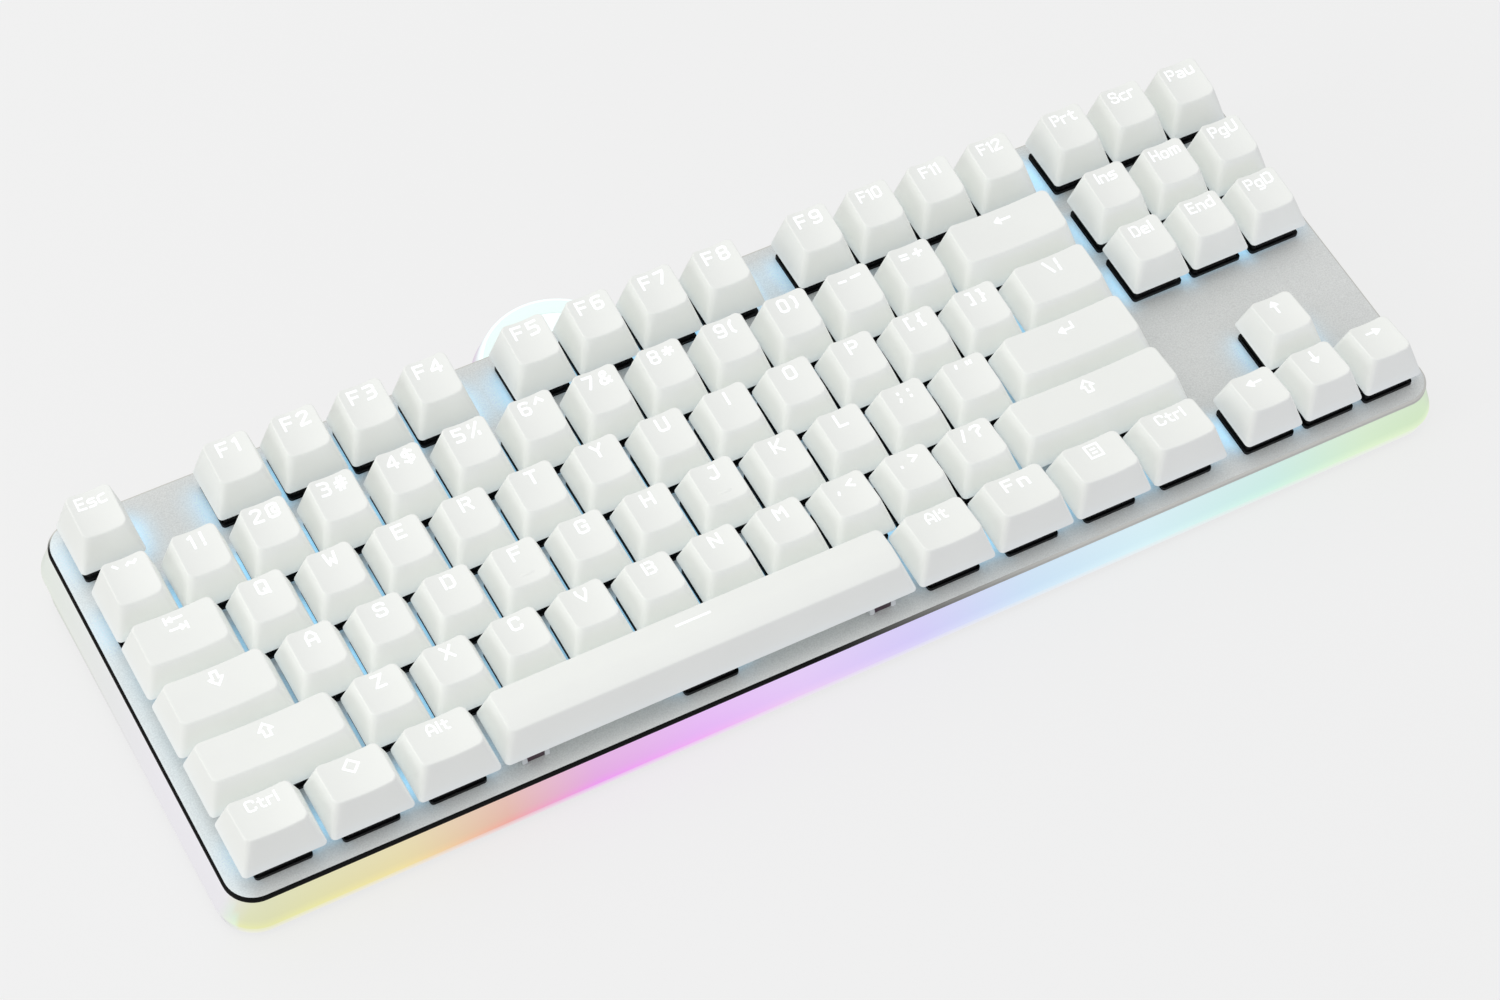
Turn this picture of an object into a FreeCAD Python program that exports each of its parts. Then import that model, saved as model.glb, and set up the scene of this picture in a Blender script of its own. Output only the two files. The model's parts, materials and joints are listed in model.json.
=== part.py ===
import FreeCAD, Part
import math
import os

# Tenkeyless mechanical keyboard, 87 keys, in millimetres.
# Deck frame: x to the right, y to the back, z = 0 on the top of the switch plate,
# origin in the middle of the key field. The deck is tilted up at the back about X.
# Part frame: z = 0 on the desk, origin at the middle of the bounding box.

V = FreeCAD.Vector

# ---- driving dimensions -------------------------------------------------------------
PITCH = 19.05                 # one key unit
FUNCTION_GAP = 0.2            # units between the number row and the function row
FIELD_UNITS = 18.25           # units across the whole key field
TILT_DEG = 4.0                # slope of the deck
FEET_HEIGHT = 1.0             # rubber feet stand this far below the case
CASE_DEPTH_FRONT = 14.3       # case bottom below the plate top at the front edge

MARGIN_SIDE = 3.2             # plate beyond the key field, left and right
MARGIN_FRONT = 3.0
MARGIN_BACK = 2.4
PLATE_THICKNESS = 1.5
PLATE_RADIUS = 8.0
PLATE_BEVEL = 0.25

LIP_DROP = 10.0               # widest line of the case below the plate top
LIP_GROW = 3.0                # case wider than the plate at the lip
LOWER_GROW = 2.2              # case wider than the plate just under the lip
LOWER_DEPTH = 32.0            # the lower wall is drawn to here, then cut flat
LOWER_GROW_END = 0.2
RIM_WIDTH = 2.4               # rim of the case that carries the plate
FLOOR_THICKNESS = 2.2

BUMP_X_UNITS = 7.5            # middle of the round bump on the back
BUMP_Y = 53.1
BUMP_RADIUS = 20.9
BUMP_FILLET = 5.0
RING_OUTER = 20.2
RING_WIDTH = 4.3
RING_DEPTH = 1.9
RING_PROUD = 0.2              # ring above the rim of the case

BOARD_TOP = -5.0
BOARD_THICKNESS = 1.6
PIN_BOTTOM = -8.3

TRAVEL = 4.0
SKIRT_Z = 5.5                 # keycap skirt above the plate
KEY_GAP = 0.95                # between neighbouring skirts
SKIRT_RADIUS = 1.3
TOP_SIDE_INSET = 3.0
TOP_FRONT_INSET = 3.9
TOP_BACK_INSET = 1.2
TOP_RADIUS = 1.9
DISH_DEPTH = 0.85
DISH_OVERRUN = 2.0
CROWN_RADIUS = 24.0           # rounded top of the space bar
CAP_WALL = 1.4
CAP_ROOF = 1.4
POST_RADIUS = 2.75
POST_Z = 1.2                  # post end above the skirt
CROSS_LONG = 4.0
CROSS_THICK = 1.2
CROSS_TOP = 10.2
SLIDER_TOP = 6.6              # shoulder that the cap's post rests over
CLEARANCE = 0.05

STAB_SHORT = 11.94            # half spacing of the stabilisers on two-unit keys
STAB_LONG = 50.0              # half spacing on the space bar
WIRE_RADIUS = 0.75
WIRE_Y = -8.6                 # pivot of the wire from the key centre
WIRE_Z = -2.9
WIRE_ARM = 7.6

# ---- layout: row -> start in units, front and back height of the cap above its skirt --
ROWS = {
    "space": (0.0, 10.0, 8.4),
    "lower": (1.0, 9.5, 8.3),
    "home": (2.0, 8.4, 8.6),
    "upper": (3.0, 8.7, 9.4),
    "number": (4.0, 10.2, 11.4),
    "function": (5.0 + FUNCTION_GAP, 10.2, 11.6),
}

TYPING_STARTS = (("number", 1.0), ("upper", 1.5), ("home", 1.75), ("lower", 2.25))
TYPING_NAMES = ("1qaz", "2wsx", "3edc", "4rfv", "5tgb", "6yhn", "7ujm", "8ik_comma",
                "9ol_period", "0p_semicolon_slash")

KEYS = {"key_escape": [("function", 0, 1)]}
for number, start in enumerate((2, 6.5, 11)):
    first = 4 * number + 1
    KEYS["keys_f%d_to_f%d" % (first, first + 3)] = [("function", start + i, 1) for i in range(4)]
for column, name in enumerate(TYPING_NAMES):
    KEYS["keys_" + name] = [(row, start + column, 1) for row, start in TYPING_STARTS]
KEYS.update({
    "keys_minus_equals_brackets_quote": [("number", 11, 1), ("number", 12, 1), ("upper", 11.5, 1),
                                         ("upper", 12.5, 1), ("home", 11.75, 1)],
    "key_grave": [("number", 0, 1)],
    "key_backspace": [("number", 13, 2)],
    "key_tab": [("upper", 0, 1.5)],
    "key_backslash": [("upper", 13.5, 1.5)],
    "key_caps_lock": [("home", 0, 1.75)],
    "key_enter": [("home", 12.75, 2.25)],
    "key_left_shift": [("lower", 0, 2.25)],
    "key_right_shift": [("lower", 12.25, 2.75)],
    "key_left_control": [("space", 0, 1.25)],
    "key_super": [("space", 1.25, 1.25)],
    "key_left_alt": [("space", 2.5, 1.25)],
    "key_space": [("space", 3.75, 6.25)],
    "key_right_alt": [("space", 10, 1.25)],
    "key_function": [("space", 11.25, 1.25)],
    "key_menu": [("space", 12.5, 1.25)],
    "key_right_control": [("space", 13.75, 1.25)],
    "key_up": [("lower", 16.25, 1)],
    "key_left": [("space", 15.25, 1)],
    "key_down": [("space", 16.25, 1)],
    "key_right": [("space", 17.25, 1)],
})
for name, start in (("print_insert_delete", 15.25), ("scroll_home_end", 16.25),
                    ("pause_page_up_down", 17.25)):
    KEYS["keys_" + name] = [(row, start, 1) for row in ("function", "number", "upper")]

STABILISED = {"backspace": "key_backspace", "enter": "key_enter", "left_shift": "key_left_shift",
              "right_shift": "key_right_shift", "space": "key_space"}

# screw places: units from the left, units from the front
SCREWS = [(1.5, 5.1), (6.25, 5.1), (10.75, 5.1), (17.25, 5.1), (1.6, 3), (8, 3), (15.125, 3),
          (2.6, 1), (7.5, 1), (11.9, 1), (17.25, 1)]

# ---- derived sizes ------------------------------------------------------------------
FIELD_WIDTH = FIELD_UNITS * PITCH
FIELD_DEPTH = (6 + FUNCTION_GAP) * PITCH
LEFT = -FIELD_WIDTH / 2
FRONT = -FIELD_DEPTH / 2
PLATE_HALF = FIELD_WIDTH / 2 + MARGIN_SIDE
PLATE_FRONT = FRONT - MARGIN_FRONT
PLATE_BACK = -FRONT + MARGIN_BACK
BUMP_X = LEFT + BUMP_X_UNITS * PITCH
BOARD_BOTTOM = BOARD_TOP - BOARD_THICKNESS
TILT = math.radians(TILT_DEG)
DECK_Z = FEET_HEIGHT - PLATE_FRONT * math.sin(TILT) + CASE_DEPTH_FRONT * math.cos(TILT)
TOP_DEPTH = PITCH - KEY_GAP - TOP_FRONT_INSET - TOP_BACK_INSET
TOP_SHIFT = (TOP_FRONT_INSET - TOP_BACK_INSET) / 2


# ---- small helpers ------------------------------------------------------------------
def box(x, y, z, at):
    """Box of size x, y, z, centred on at in x and y and standing on at.z."""
    solid = Part.makeBox(x, y, z)
    solid.translate(V(at[0] - x / 2, at[1] - y / 2, at[2]))
    return solid


def rounded_wire(x, y, radius, z=0.0):
    """Rounded rectangle centred on the z axis."""
    a, b, r = x / 2, y / 2, radius
    k = r * (1 - math.sqrt(0.5))
    edges = []
    for sx, sy, corner_first in ((1, 1, False), (-1, 1, True), (-1, -1, False), (1, -1, True)):
        on_side = V(sx * a, sy * (b - r), z)
        middle = V(sx * (a - k), sy * (b - k), z)
        on_end = V(sx * (a - r), sy * b, z)
        points = (on_end, middle, on_side) if corner_first else (on_side, middle, on_end)
        edges.append(Part.Arc(*points).toShape())
    wire = []
    for i, arc in enumerate(edges):
        wire.append(arc)
        following = edges[(i + 1) % 4]
        start, end = arc.Vertexes[-1].Point, following.Vertexes[0].Point
        wire.append(Part.LineSegment(start, end).toShape())
    return Part.Wire(wire)


def prism(wire, height):
    return Part.Face(wire).extrude(V(0, 0, height))


def loft(lower, upper):
    return Part.makeLoft([lower, upper], True, True)


def rod(radius, start, end):
    axis = end - start
    return Part.makeCylinder(radius, axis.Length, start, axis)


def moved(shape, x, y, z=0.0):
    copy = shape.copy()
    copy.translate(V(x, y, z))
    return copy


def merge(shapes):
    return shapes[0].multiFuse(shapes[1:]).removeSplitter()


def cut_all(shape, tools):
    return shape.cut(Part.makeCompound(tools))


def key_centre(row, start, units):
    return (LEFT + (start + units / 2) * PITCH, FRONT + (ROWS[row][0] + 0.5) * PITCH)


ALL_KEYS = [key for group in KEYS.values() for key in group]
CENTRES = [key_centre(*key) for key in ALL_KEYS]


def at_every_key(shape):
    return Part.makeCompound([moved(shape, x, y) for x, y in CENTRES])


def stabiliser_half(units):
    return STAB_LONG if units > 3 else STAB_SHORT


# ---- case outline, level by level ----------------------------------------------------
def case_outline(grow, z, with_bump=True):
    """Plate outline grown outwards by grow, with the round bump on the back."""
    right, front, back = PLATE_HALF + grow, PLATE_FRONT - grow, PLATE_BACK + grow
    r = PLATE_RADIUS + grow
    k = r * (1 - math.sqrt(0.5))
    line, arc = Part.LineSegment, Part.Arc

    def corner(start, middle, end):
        return arc(V(*start, z), V(*middle, z), V(*end, z)).toShape()

    def side(start, end):
        return line(V(*start, z), V(*end, z)).toShape()

    edges = [
        side((-right + r, front), (right - r, front)),
        corner((right - r, front), (right - k, front + k), (right, front + r)),
        side((right, front + r), (right, back - r)),
        corner((right, back - r), (right - k, back - k), (right - r, back)),
    ]
    last = (right - r, back)
    if with_bump:
        (foot_right, middle_right, touch_right) = bump_fillet(1, grow)
        (foot_left, middle_left, touch_left) = bump_fillet(-1, grow)
        edges += [side(last, foot_right), corner(foot_right, middle_right, touch_right)]
        edges.append(corner(touch_right, (BUMP_X, BUMP_Y + BUMP_RADIUS + grow), touch_left))
        edges.append(corner(touch_left, middle_left, foot_left))
        last = foot_left
    edges += [
        side(last, (-right + r, back)),
        corner((-right + r, back), (-right + k, back - k), (-right, back - r)),
        side((-right, back - r), (-right, front + r)),
        corner((-right, front + r), (-right + k, front + k), (-right + r, front)),
    ]
    return Part.Wire(edges)


def bump_fillet(sign, grow):
    """Foot, middle and touch points of the hollow fillet on one side of the bump."""
    centre_y = PLATE_BACK + BUMP_FILLET
    reach = math.sqrt((BUMP_RADIUS + BUMP_FILLET) ** 2 - (centre_y - BUMP_Y) ** 2)
    centre_x = BUMP_X + sign * reach
    foot = -math.pi / 2
    touch = math.atan2(BUMP_Y - centre_y, BUMP_X - centre_x)
    radius = BUMP_FILLET - grow
    return [(centre_x + radius * math.cos(a), centre_y + radius * math.sin(a))
            for a in (foot, (foot + touch) / 2, touch)]


# ---- from the deck frame to the desk ---------------------------------------------------
def raised(shape):
    """Deck frame to desk frame, before the final centring."""
    copy = shape.copy()
    copy.rotate(V(0, 0, 0), V(1, 0, 0), TILT_DEG)
    copy.translate(V(0, 0, DECK_Z))
    return copy


# ---- keycaps ---------------------------------------------------------------------------
def cap_wire(x, y, radius, shift_y, z_front, z_back):
    """Rounded rectangle sloping from z_front to z_back, shifted back by shift_y."""
    slope = math.atan2(z_back - z_front, y)
    wire = rounded_wire(x, y / math.cos(slope), radius)
    wire.rotate(V(0, 0, 0), V(1, 0, 0), math.degrees(slope))
    wire.translate(V(0, shift_y, (z_front + z_back) / 2))
    return wire


def cross(thick_extra, bottom, top, at=(0, 0)):
    long, thick = CROSS_LONG + thick_extra, CROSS_THICK + thick_extra
    bars = [box(long, thick, top - bottom, (at[0], at[1], bottom)),
            box(thick, long, top - bottom, (at[0], at[1], bottom))]
    return merge(bars)


def post_places(units):
    if units < 2:
        return [0.0]
    half = stabiliser_half(units)
    return [-half, 0.0, half]


def dish_tool(top_wide):
    """Solid above the hollow top of a cap; its arc meets z = 0 at the sides of the top."""
    half = top_wide / 2 + DISH_OVERRUN
    rise = DISH_DEPTH * ((2 * half / top_wide) ** 2 - 1)
    left, right = V(-half, -PITCH, rise), V(half, -PITCH, rise)
    arc = Part.Arc(left, V(0, -PITCH, -DISH_DEPTH), right).toShape()
    high = V(0, 0, PITCH)
    lid = Part.makePolygon([right, right + high, left + high, left])
    return Part.Face(Part.Wire([arc] + lid.Edges)).extrude(V(0, 2 * PITCH, 0))


def keycap(row, units):
    """One hollow cap with its cross sockets; z = 0 on the end of the skirt."""
    _, front, back = ROWS[row]
    wide, deep = units * PITCH - KEY_GAP, PITCH - KEY_GAP
    top_wide = wide - 2 * TOP_SIDE_INSET
    skirt = rounded_wire(wide, deep, SKIRT_RADIUS)
    body = loft(skirt, cap_wire(top_wide, TOP_DEPTH, TOP_RADIUS, TOP_SHIFT, front, back))
    slope = math.degrees(math.atan2(back - front, TOP_DEPTH))
    middle = V(0, TOP_SHIFT, (front + back) / 2)
    if units > 3:
        centre = middle - V(0, 0, CROWN_RADIUS)
        body = body.common(rod(CROWN_RADIUS, centre - V(wide, 0, 0), centre + V(wide, 0, 0)))
    else:
        tool = dish_tool(top_wide)
        tool.rotate(V(0, 0, 0), V(1, 0, 0), slope)
        tool.translate(middle)
        body = body.cut(tool)
    drop = DISH_DEPTH + CAP_ROOF
    inner_top = cap_wire(top_wide - 2 * CAP_WALL, TOP_DEPTH - 2 * CAP_WALL, TOP_RADIUS - 0.9,
                         TOP_SHIFT, front - drop, back - drop)
    inner = rounded_wire(wide - 2 * CAP_WALL, deep - 2 * CAP_WALL, SKIRT_RADIUS - 0.7)
    body = body.cut(loft(inner, inner_top))
    post_top = min(front, back) - DISH_DEPTH - CAP_ROOF / 2
    posts = [rod(POST_RADIUS, V(x, 0, POST_Z), V(x, 0, post_top)) for x in post_places(units)]
    body = merge([body] + posts)
    socket_top = CROSS_TOP - SKIRT_Z + 0.2
    sockets = [cross(2 * CLEARANCE, POST_Z - 1, socket_top, (x, 0)) for x in post_places(units)]
    return cut_all(body, sockets)


# ---- switch, stabiliser and their moving sliders ------------------------------------------
SLIDER = (7.0, 5.6)
SLIDER_BOTTOM = 0.7
HOUSING = 13.9
FLANGE = 15.6
FLANGE_TOP = 1.0
SPRING_FLOOR = -3.8
PIN_PLACES = ((-3.81, 2.54), (2.54, 5.08))
PIN_SECTION = (0.9, 0.3)
LEAF_SECTION = (0.5, 0.3)     # clear of the slider when the key is down
LEAF_LENGTH = 3.4
CAVITY = (11.4, 9.4)          # inside of the lower housing
CAVITY_SHIFT = -0.9
GUIDE_RADIUS = 0.8            # pin of the slider inside the spring
GUIDE_BORE = 1.0
SPRING_BORE = 2.4             # bore of the slider round the spring
SPRING_TURNS = 5
SPRING_WIRE = 0.46
SPRING_INNER = 1.35
LED_PLACE = (0.0, 5.1)
LED_SIZE = (3.2, 2.8, 1.5)
STAB_WIDTH = 6.4
STAB_DEPTH = 12.2
STAB_CUTOUT = (6.7, 12.5)
STAB_SLIDER = (4.4, 4.8)
STAB_SLIDER_BOTTOM = -2.6
STAB_CHEEK = ((-4.5, 0.2), (-7.5, 0.2), (-7.5, 0.9), (-6.1, 4.0), (-4.5, 4.0))   # y, z of its side
STAB_NOSE = (4.9, 2.2, 2.5)   # block between the two cheeks
STAB_NOSE_Y = -5.4
WIRE_CLIP = (1.3, 3.75, 1.95)
WIRE_CLIP_Y = -7.875
WIRE_CLIP_Z = -3.6


def switch_slider():
    body = box(*SLIDER, SLIDER_TOP - SLIDER_BOTTOM, (0, 0, SLIDER_BOTTOM))
    body = body.cut(rod(SPRING_BORE, V(0, 0, SLIDER_BOTTOM - 1), V(0, 0, 2.7)))
    guide = rod(GUIDE_RADIUS, V(0, 0, -3.0), V(0, 0, 3.0))
    return merge([body, guide, cross(0, SLIDER_TOP - 0.5, CROSS_TOP)])


def stabiliser_slider():
    body = box(*STAB_SLIDER, SLIDER_TOP - STAB_SLIDER_BOTTOM, (0, 0, STAB_SLIDER_BOTTOM))
    slot = box(2.4, 3.3, 2.4, (0, -0.75, WIRE_Z + TRAVEL / 2 - 1.2))
    return merge([body.cut(slot), cross(0, SLIDER_TOP - 0.5, CROSS_TOP)])


def lower_housing():
    body = merge([box(HOUSING, HOUSING, -BOARD_TOP, (0, 0, BOARD_TOP)),
                  prism(rounded_wire(FLANGE, FLANGE, 1.0), FLANGE_TOP),
                  rod(1.95, V(0, 0, PIN_BOTTOM), V(0, 0, BOARD_TOP + 0.5))])
    cavity = box(*CAVITY, FLANGE_TOP - SPRING_FLOOR, (0, CAVITY_SHIFT, SPRING_FLOOR))
    tools = [cavity, rod(GUIDE_BORE, V(0, 0, -7.6), V(0, 0, SPRING_FLOOR + 0.1)),
             box(LED_SIZE[0] + 0.6, 4.0, 1.9, (LED_PLACE[0], LED_PLACE[1] + 0.6, BOARD_TOP))]
    tools += [box(1.3, 0.5, 8, (x, y, BOARD_TOP - 1)) for x, y in PIN_PLACES]
    return cut_all(body, tools)


def upper_housing():
    outer = loft(rounded_wire(14.0, 14.0, 0.8, FLANGE_TOP), rounded_wire(9.8, 8.0, 0.8, SLIDER_TOP))
    inner = loft(rounded_wire(11.6, 11.6, 0.4, FLANGE_TOP), rounded_wire(8.4, 7.4, 0.4, SLIDER_TOP - 1))
    opening = box(7.4, 6.2, 4, (0, 0, SLIDER_TOP - 3))
    return cut_all(outer, [inner, opening])


def spring():
    """A coil spring drawn at its closed length, as a ring with one groove per turn."""
    turns, wire, inner = SPRING_TURNS, SPRING_WIRE, SPRING_INNER
    outer = inner + wire
    points = [V(inner, 0, 0), V(inner + wire / 2, 0, 0)]
    edges = [Part.LineSegment(*points).toShape()]
    for turn in range(turns):
        z = turn * wire
        start, end = V(inner + wire / 2, 0, z), V(inner + wire / 2, 0, z + wire)
        edges.append(Part.Arc(start, V(outer, 0, z + wire / 2), end).toShape())
    top = V(inner, 0, turns * wire)
    edges.append(Part.LineSegment(V(inner + wire / 2, 0, turns * wire), top).toShape())
    edges.append(Part.LineSegment(top, points[0]).toShape())
    ring = Part.Face(Part.Wire(edges)).revolve(V(0, 0, 0), V(0, 0, 1), 360)
    ring.translate(V(0, 0, SPRING_FLOOR))
    return ring


def contacts():
    """The two pins of a switch with their leaves in the housing wall."""
    pin_length = SPRING_FLOOR - 0.3 - PIN_BOTTOM
    return [merge([box(*PIN_SECTION, pin_length, (x, y, PIN_BOTTOM)),
                   box(*LEAF_SECTION, LEAF_LENGTH, (x, y, SPRING_FLOOR - 0.4))])
            for x, y in PIN_PLACES]


def stabiliser_cheek(sign):
    """Side wall that carries on in front of a stabiliser housing, beside its nose."""
    outline = [V(sign * 2.4, y, z) for y, z in (*STAB_CHEEK, STAB_CHEEK[0])]
    return Part.Face(Part.makePolygon(outline)).extrude(V(sign * 1.4, 0, 0))


def stabiliser_housing(side):
    """Housing of one stabiliser; side is +1 right of the key's middle, -1 left of it."""
    body = merge([box(STAB_WIDTH, STAB_DEPTH, 3.4, (0, 0, -3.4)),
                  prism(rounded_wire(7.6, 14.0, 0.8), FLANGE_TOP),
                  prism(rounded_wire(7.6, 10.0, 0.8), 4.6),
                  box(*WIRE_CLIP, (-side * 2.35, WIRE_CLIP_Y, WIRE_CLIP_Z)),
                  box(*STAB_NOSE, (0, STAB_NOSE_Y, 0.5)), *[stabiliser_cheek(sign) for sign in (-1, 1)]])
    tools = [box(4.8, 5.2, 10, (0, 0, -4)), box(5.8, 6.2, 4, (0, 0, 2.4)),
             box(2.4, 6.0, 4.3, (0, -5.0, -4.0)),
             rod(WIRE_RADIUS + 0.06, V(-5, WIRE_Y, WIRE_Z), V(5, WIRE_Y, WIRE_Z))]
    return cut_all(body, tools)


def stabiliser_wire(half):
    """Wire of one stabiliser pair, arms raised as they are with the key up."""
    rise = TRAVEL / 2
    run = math.sqrt(WIRE_ARM ** 2 - rise ** 2)
    pieces = [rod(WIRE_RADIUS, V(-half, WIRE_Y, WIRE_Z), V(half, WIRE_Y, WIRE_Z))]
    for x in (-half, half):
        corner = V(x, WIRE_Y, WIRE_Z)
        pieces.append(rod(WIRE_RADIUS, corner, corner + V(0, run, rise)))
        pieces.append(Part.makeSphere(WIRE_RADIUS, corner))
    return merge(pieces)


# ---- key nodes -----------------------------------------------------------------------------
def key_node(keys, caps):
    slider, stab_slider = switch_slider(), stabiliser_slider()
    solids = []
    for row, start, units in keys:
        if (row, units) not in caps:
            caps[(row, units)] = keycap(row, units)
        x, y = key_centre(row, start, units)
        solids += [moved(caps[(row, units)], x, y, SKIRT_Z), moved(slider, x, y)]
        solids += [moved(stab_slider, x + dx, y) for dx in post_places(units) if dx]
    return Part.makeCompound(solids)


# ---- plate, board and what sits on them ---------------------------------------------------
def stabiliser_places():
    """(x, y, side) of every stabiliser housing."""
    places = []
    for node in STABILISED.values():
        row, start, units = KEYS[node][0]
        x, y = key_centre(row, start, units)
        half = stabiliser_half(units)
        places += [(x - half, y, -1), (x + half, y, 1)]
    return places


def top_plate():
    plate = prism(case_outline(0, -PLATE_THICKNESS, with_bump=False), PLATE_THICKNESS)
    rim = [edge for edge in plate.Edges if abs(edge.BoundBox.ZMin) < 1e-6]
    plate = plate.makeChamfer(PLATE_BEVEL, rim)
    tools = [box(14, 14, 4, (x, y, -3)) for x, y in CENTRES]
    for x, y, _ in stabiliser_places():
        tools += [box(*STAB_CUTOUT, 4, (x, y, -3)), box(3, 3, 4, (x, y - 6.5, -3))]
    return cut_all(plate, tools)


def screw_places():
    return [(LEFT + u * PITCH, FRONT + v * PITCH) for u, v in SCREWS]


def circuit_board():
    right, front = FIELD_WIDTH / 2 - 0.4, FRONT + 0.5
    main = box(2 * right, -2 * front, BOARD_THICKNESS, (0, 0, BOARD_BOTTOM))
    tongue = box(12, 40, BOARD_THICKNESS, (BUMP_X, BUMP_Y, BOARD_BOTTOM))
    disc = rod(BUMP_RADIUS - 3, V(BUMP_X, BUMP_Y, BOARD_BOTTOM), V(BUMP_X, BUMP_Y, BOARD_TOP))
    board = merge([main, tongue.common(disc)])
    bottom, top = BOARD_BOTTOM - 1, BOARD_TOP + 1
    tools = [rod(2.0, V(x, y, bottom), V(x, y, top)) for x, y in CENTRES]
    tools += [rod(0.55, V(x + px, y + py, bottom), V(x + px, y + py, top))
              for x, y in CENTRES for px, py in PIN_PLACES]
    tools += [box(7.4, 13.0, 4, (x, y, bottom)) for x, y, _ in stabiliser_places()]
    tools += [rod(1.4, V(x, y, bottom), V(x, y, top)) for x, y in screw_places()]
    return cut_all(board, tools)


def board_chips():
    """Under the board: the controller and one diode for each switch."""
    chip_x, chip_y = LEFT + 16.25 * PITCH, FRONT + 4 * PITCH
    chips = [box(10, 10, 1.4, (chip_x, chip_y, BOARD_BOTTOM - 1.4)),
             box(5, 4, 1.2, (BUMP_X, BUMP_Y + 6, BOARD_BOTTOM - 1.2))]
    chips += [box(2.6, 1.4, 1.0, (x + 5.5, y - 4, BOARD_BOTTOM - 1.0)) for x, y in CENTRES]
    return Part.makeCompound(chips)


def edge_leds():
    """Light sources under the board along the case walls."""
    leds = []
    for i in range(18):
        x = LEFT + (i + 0.5) * FIELD_WIDTH / 18
        leds += [box(3.5, 2.8, 1.4, (x, FRONT + 2.2, BOARD_BOTTOM - 1.4))]
        if abs(x - BUMP_X) > 8:
            leds += [box(3.5, 2.8, 1.4, (x, -FRONT - 2.2, BOARD_BOTTOM - 1.4))]
    for i in range(5):
        y = FRONT + (i + 0.75) * FIELD_DEPTH / 5.5
        leds += [box(1.6, 3.5, 1.4, (side * (FIELD_WIDTH / 2 - 1.4), y, BOARD_BOTTOM - 1.4))
                 for side in (-1, 1)]
    return Part.makeCompound(leds)


# ---- fasteners, light ring and socket -------------------------------------------------------
SEAT_Z = -11.0                # screw heads bear on the bosses here
SHANK_RADIUS = 1.2
HEAD_RADIUS = 2.3
HEAD_HEIGHT = 1.6
DRIVE = (2.6, 0.6)            # cross slot in the screw heads


def case_fasteners():
    solids = []
    for x, y in screw_places():
        shank = rod(SHANK_RADIUS, V(x, y, SEAT_Z), V(x, y, -2.2))
        head = rod(HEAD_RADIUS, V(x, y, SEAT_Z - HEAD_HEIGHT), V(x, y, SEAT_Z))
        slot_at = (x, y, SEAT_Z - HEAD_HEIGHT - 1)
        drive = merge([box(DRIVE[0], DRIVE[1], 1.9, slot_at), box(DRIVE[1], DRIVE[0], 1.9, slot_at)])
        solids.append(merge([shank, head]).cut(drive))
        stand = rod(2.2, V(x, y, BOARD_TOP), V(x, y, -PLATE_THICKNESS))
        solids.append(stand.cut(rod(SHANK_RADIUS + CLEARANCE, V(x, y, -6), V(x, y, -1))))
    return Part.makeCompound(solids)


def crescent(inner, outer, back_line, bottom, top):
    """Ring slice about the bump centre, kept only behind back_line."""
    centre_low, centre_high = V(BUMP_X, BUMP_Y, bottom), V(BUMP_X, BUMP_Y, top)
    ring = rod(outer, centre_low, centre_high).cut(rod(inner, centre_low, centre_high))
    keep = box(3 * outer, 2 * outer, top - bottom, (BUMP_X, back_line + outer, bottom))
    return ring.common(keep)


def rear_light_ring():
    inner = RING_OUTER - RING_WIDTH
    bottom = -PLATE_THICKNESS - RING_DEPTH + CLEARANCE
    return crescent(inner, RING_OUTER, PLATE_BACK + 0.5, bottom, -PLATE_THICKNESS + RING_PROUD)


SOCKET = (8.9, 7.4, 3.2)
SOCKET_WALL = 0.3
TONGUE = (6.6, 0.7)
SOCKET_MOUTH_Y = BUMP_Y + BUMP_RADIUS + 1.6


def usb_socket():
    """Metal shell of the data socket with its tongue, under the board."""
    wide, deep, high = SOCKET
    low = BOARD_BOTTOM - high
    shell = rounded_wire(wide, high, high / 2 - 0.02)
    mouth = rounded_wire(wide - 2 * SOCKET_WALL, high - 2 * SOCKET_WALL, high / 2 - 0.32)
    tube = prism(shell, deep).cut(prism(mouth, deep - 0.8))
    tube.rotate(V(0, 0, 0), V(1, 0, 0), 90)
    tube.translate(V(BUMP_X, SOCKET_MOUTH_Y, low + high / 2))
    tongue_at = (BUMP_X, SOCKET_MOUTH_Y - deep / 2 - 0.3, low + high / 2 - TONGUE[1] / 2)
    insert = box(TONGUE[0], deep - 1.4, TONGUE[1], tongue_at)
    return merge([tube, insert])


# ---- flip feet, in the desk frame ------------------------------------------------------------
FOOT_X = 118.0
FOOT_HINGE_Y = 47.0
FOOT_HINGE_Z = FEET_HEIGHT + 2.5
FOOT_LENGTH = 14.0
FOOT_WIDTH = 30.0
FOOT_THICKNESS = 3.6
FOOT_BARREL = 2.1
POCKET_HEIGHT = 5.0
POCKET_WALL = 1.6
PIN_RADIUS = 1.2
PIN_LENGTH = 1.6


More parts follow.
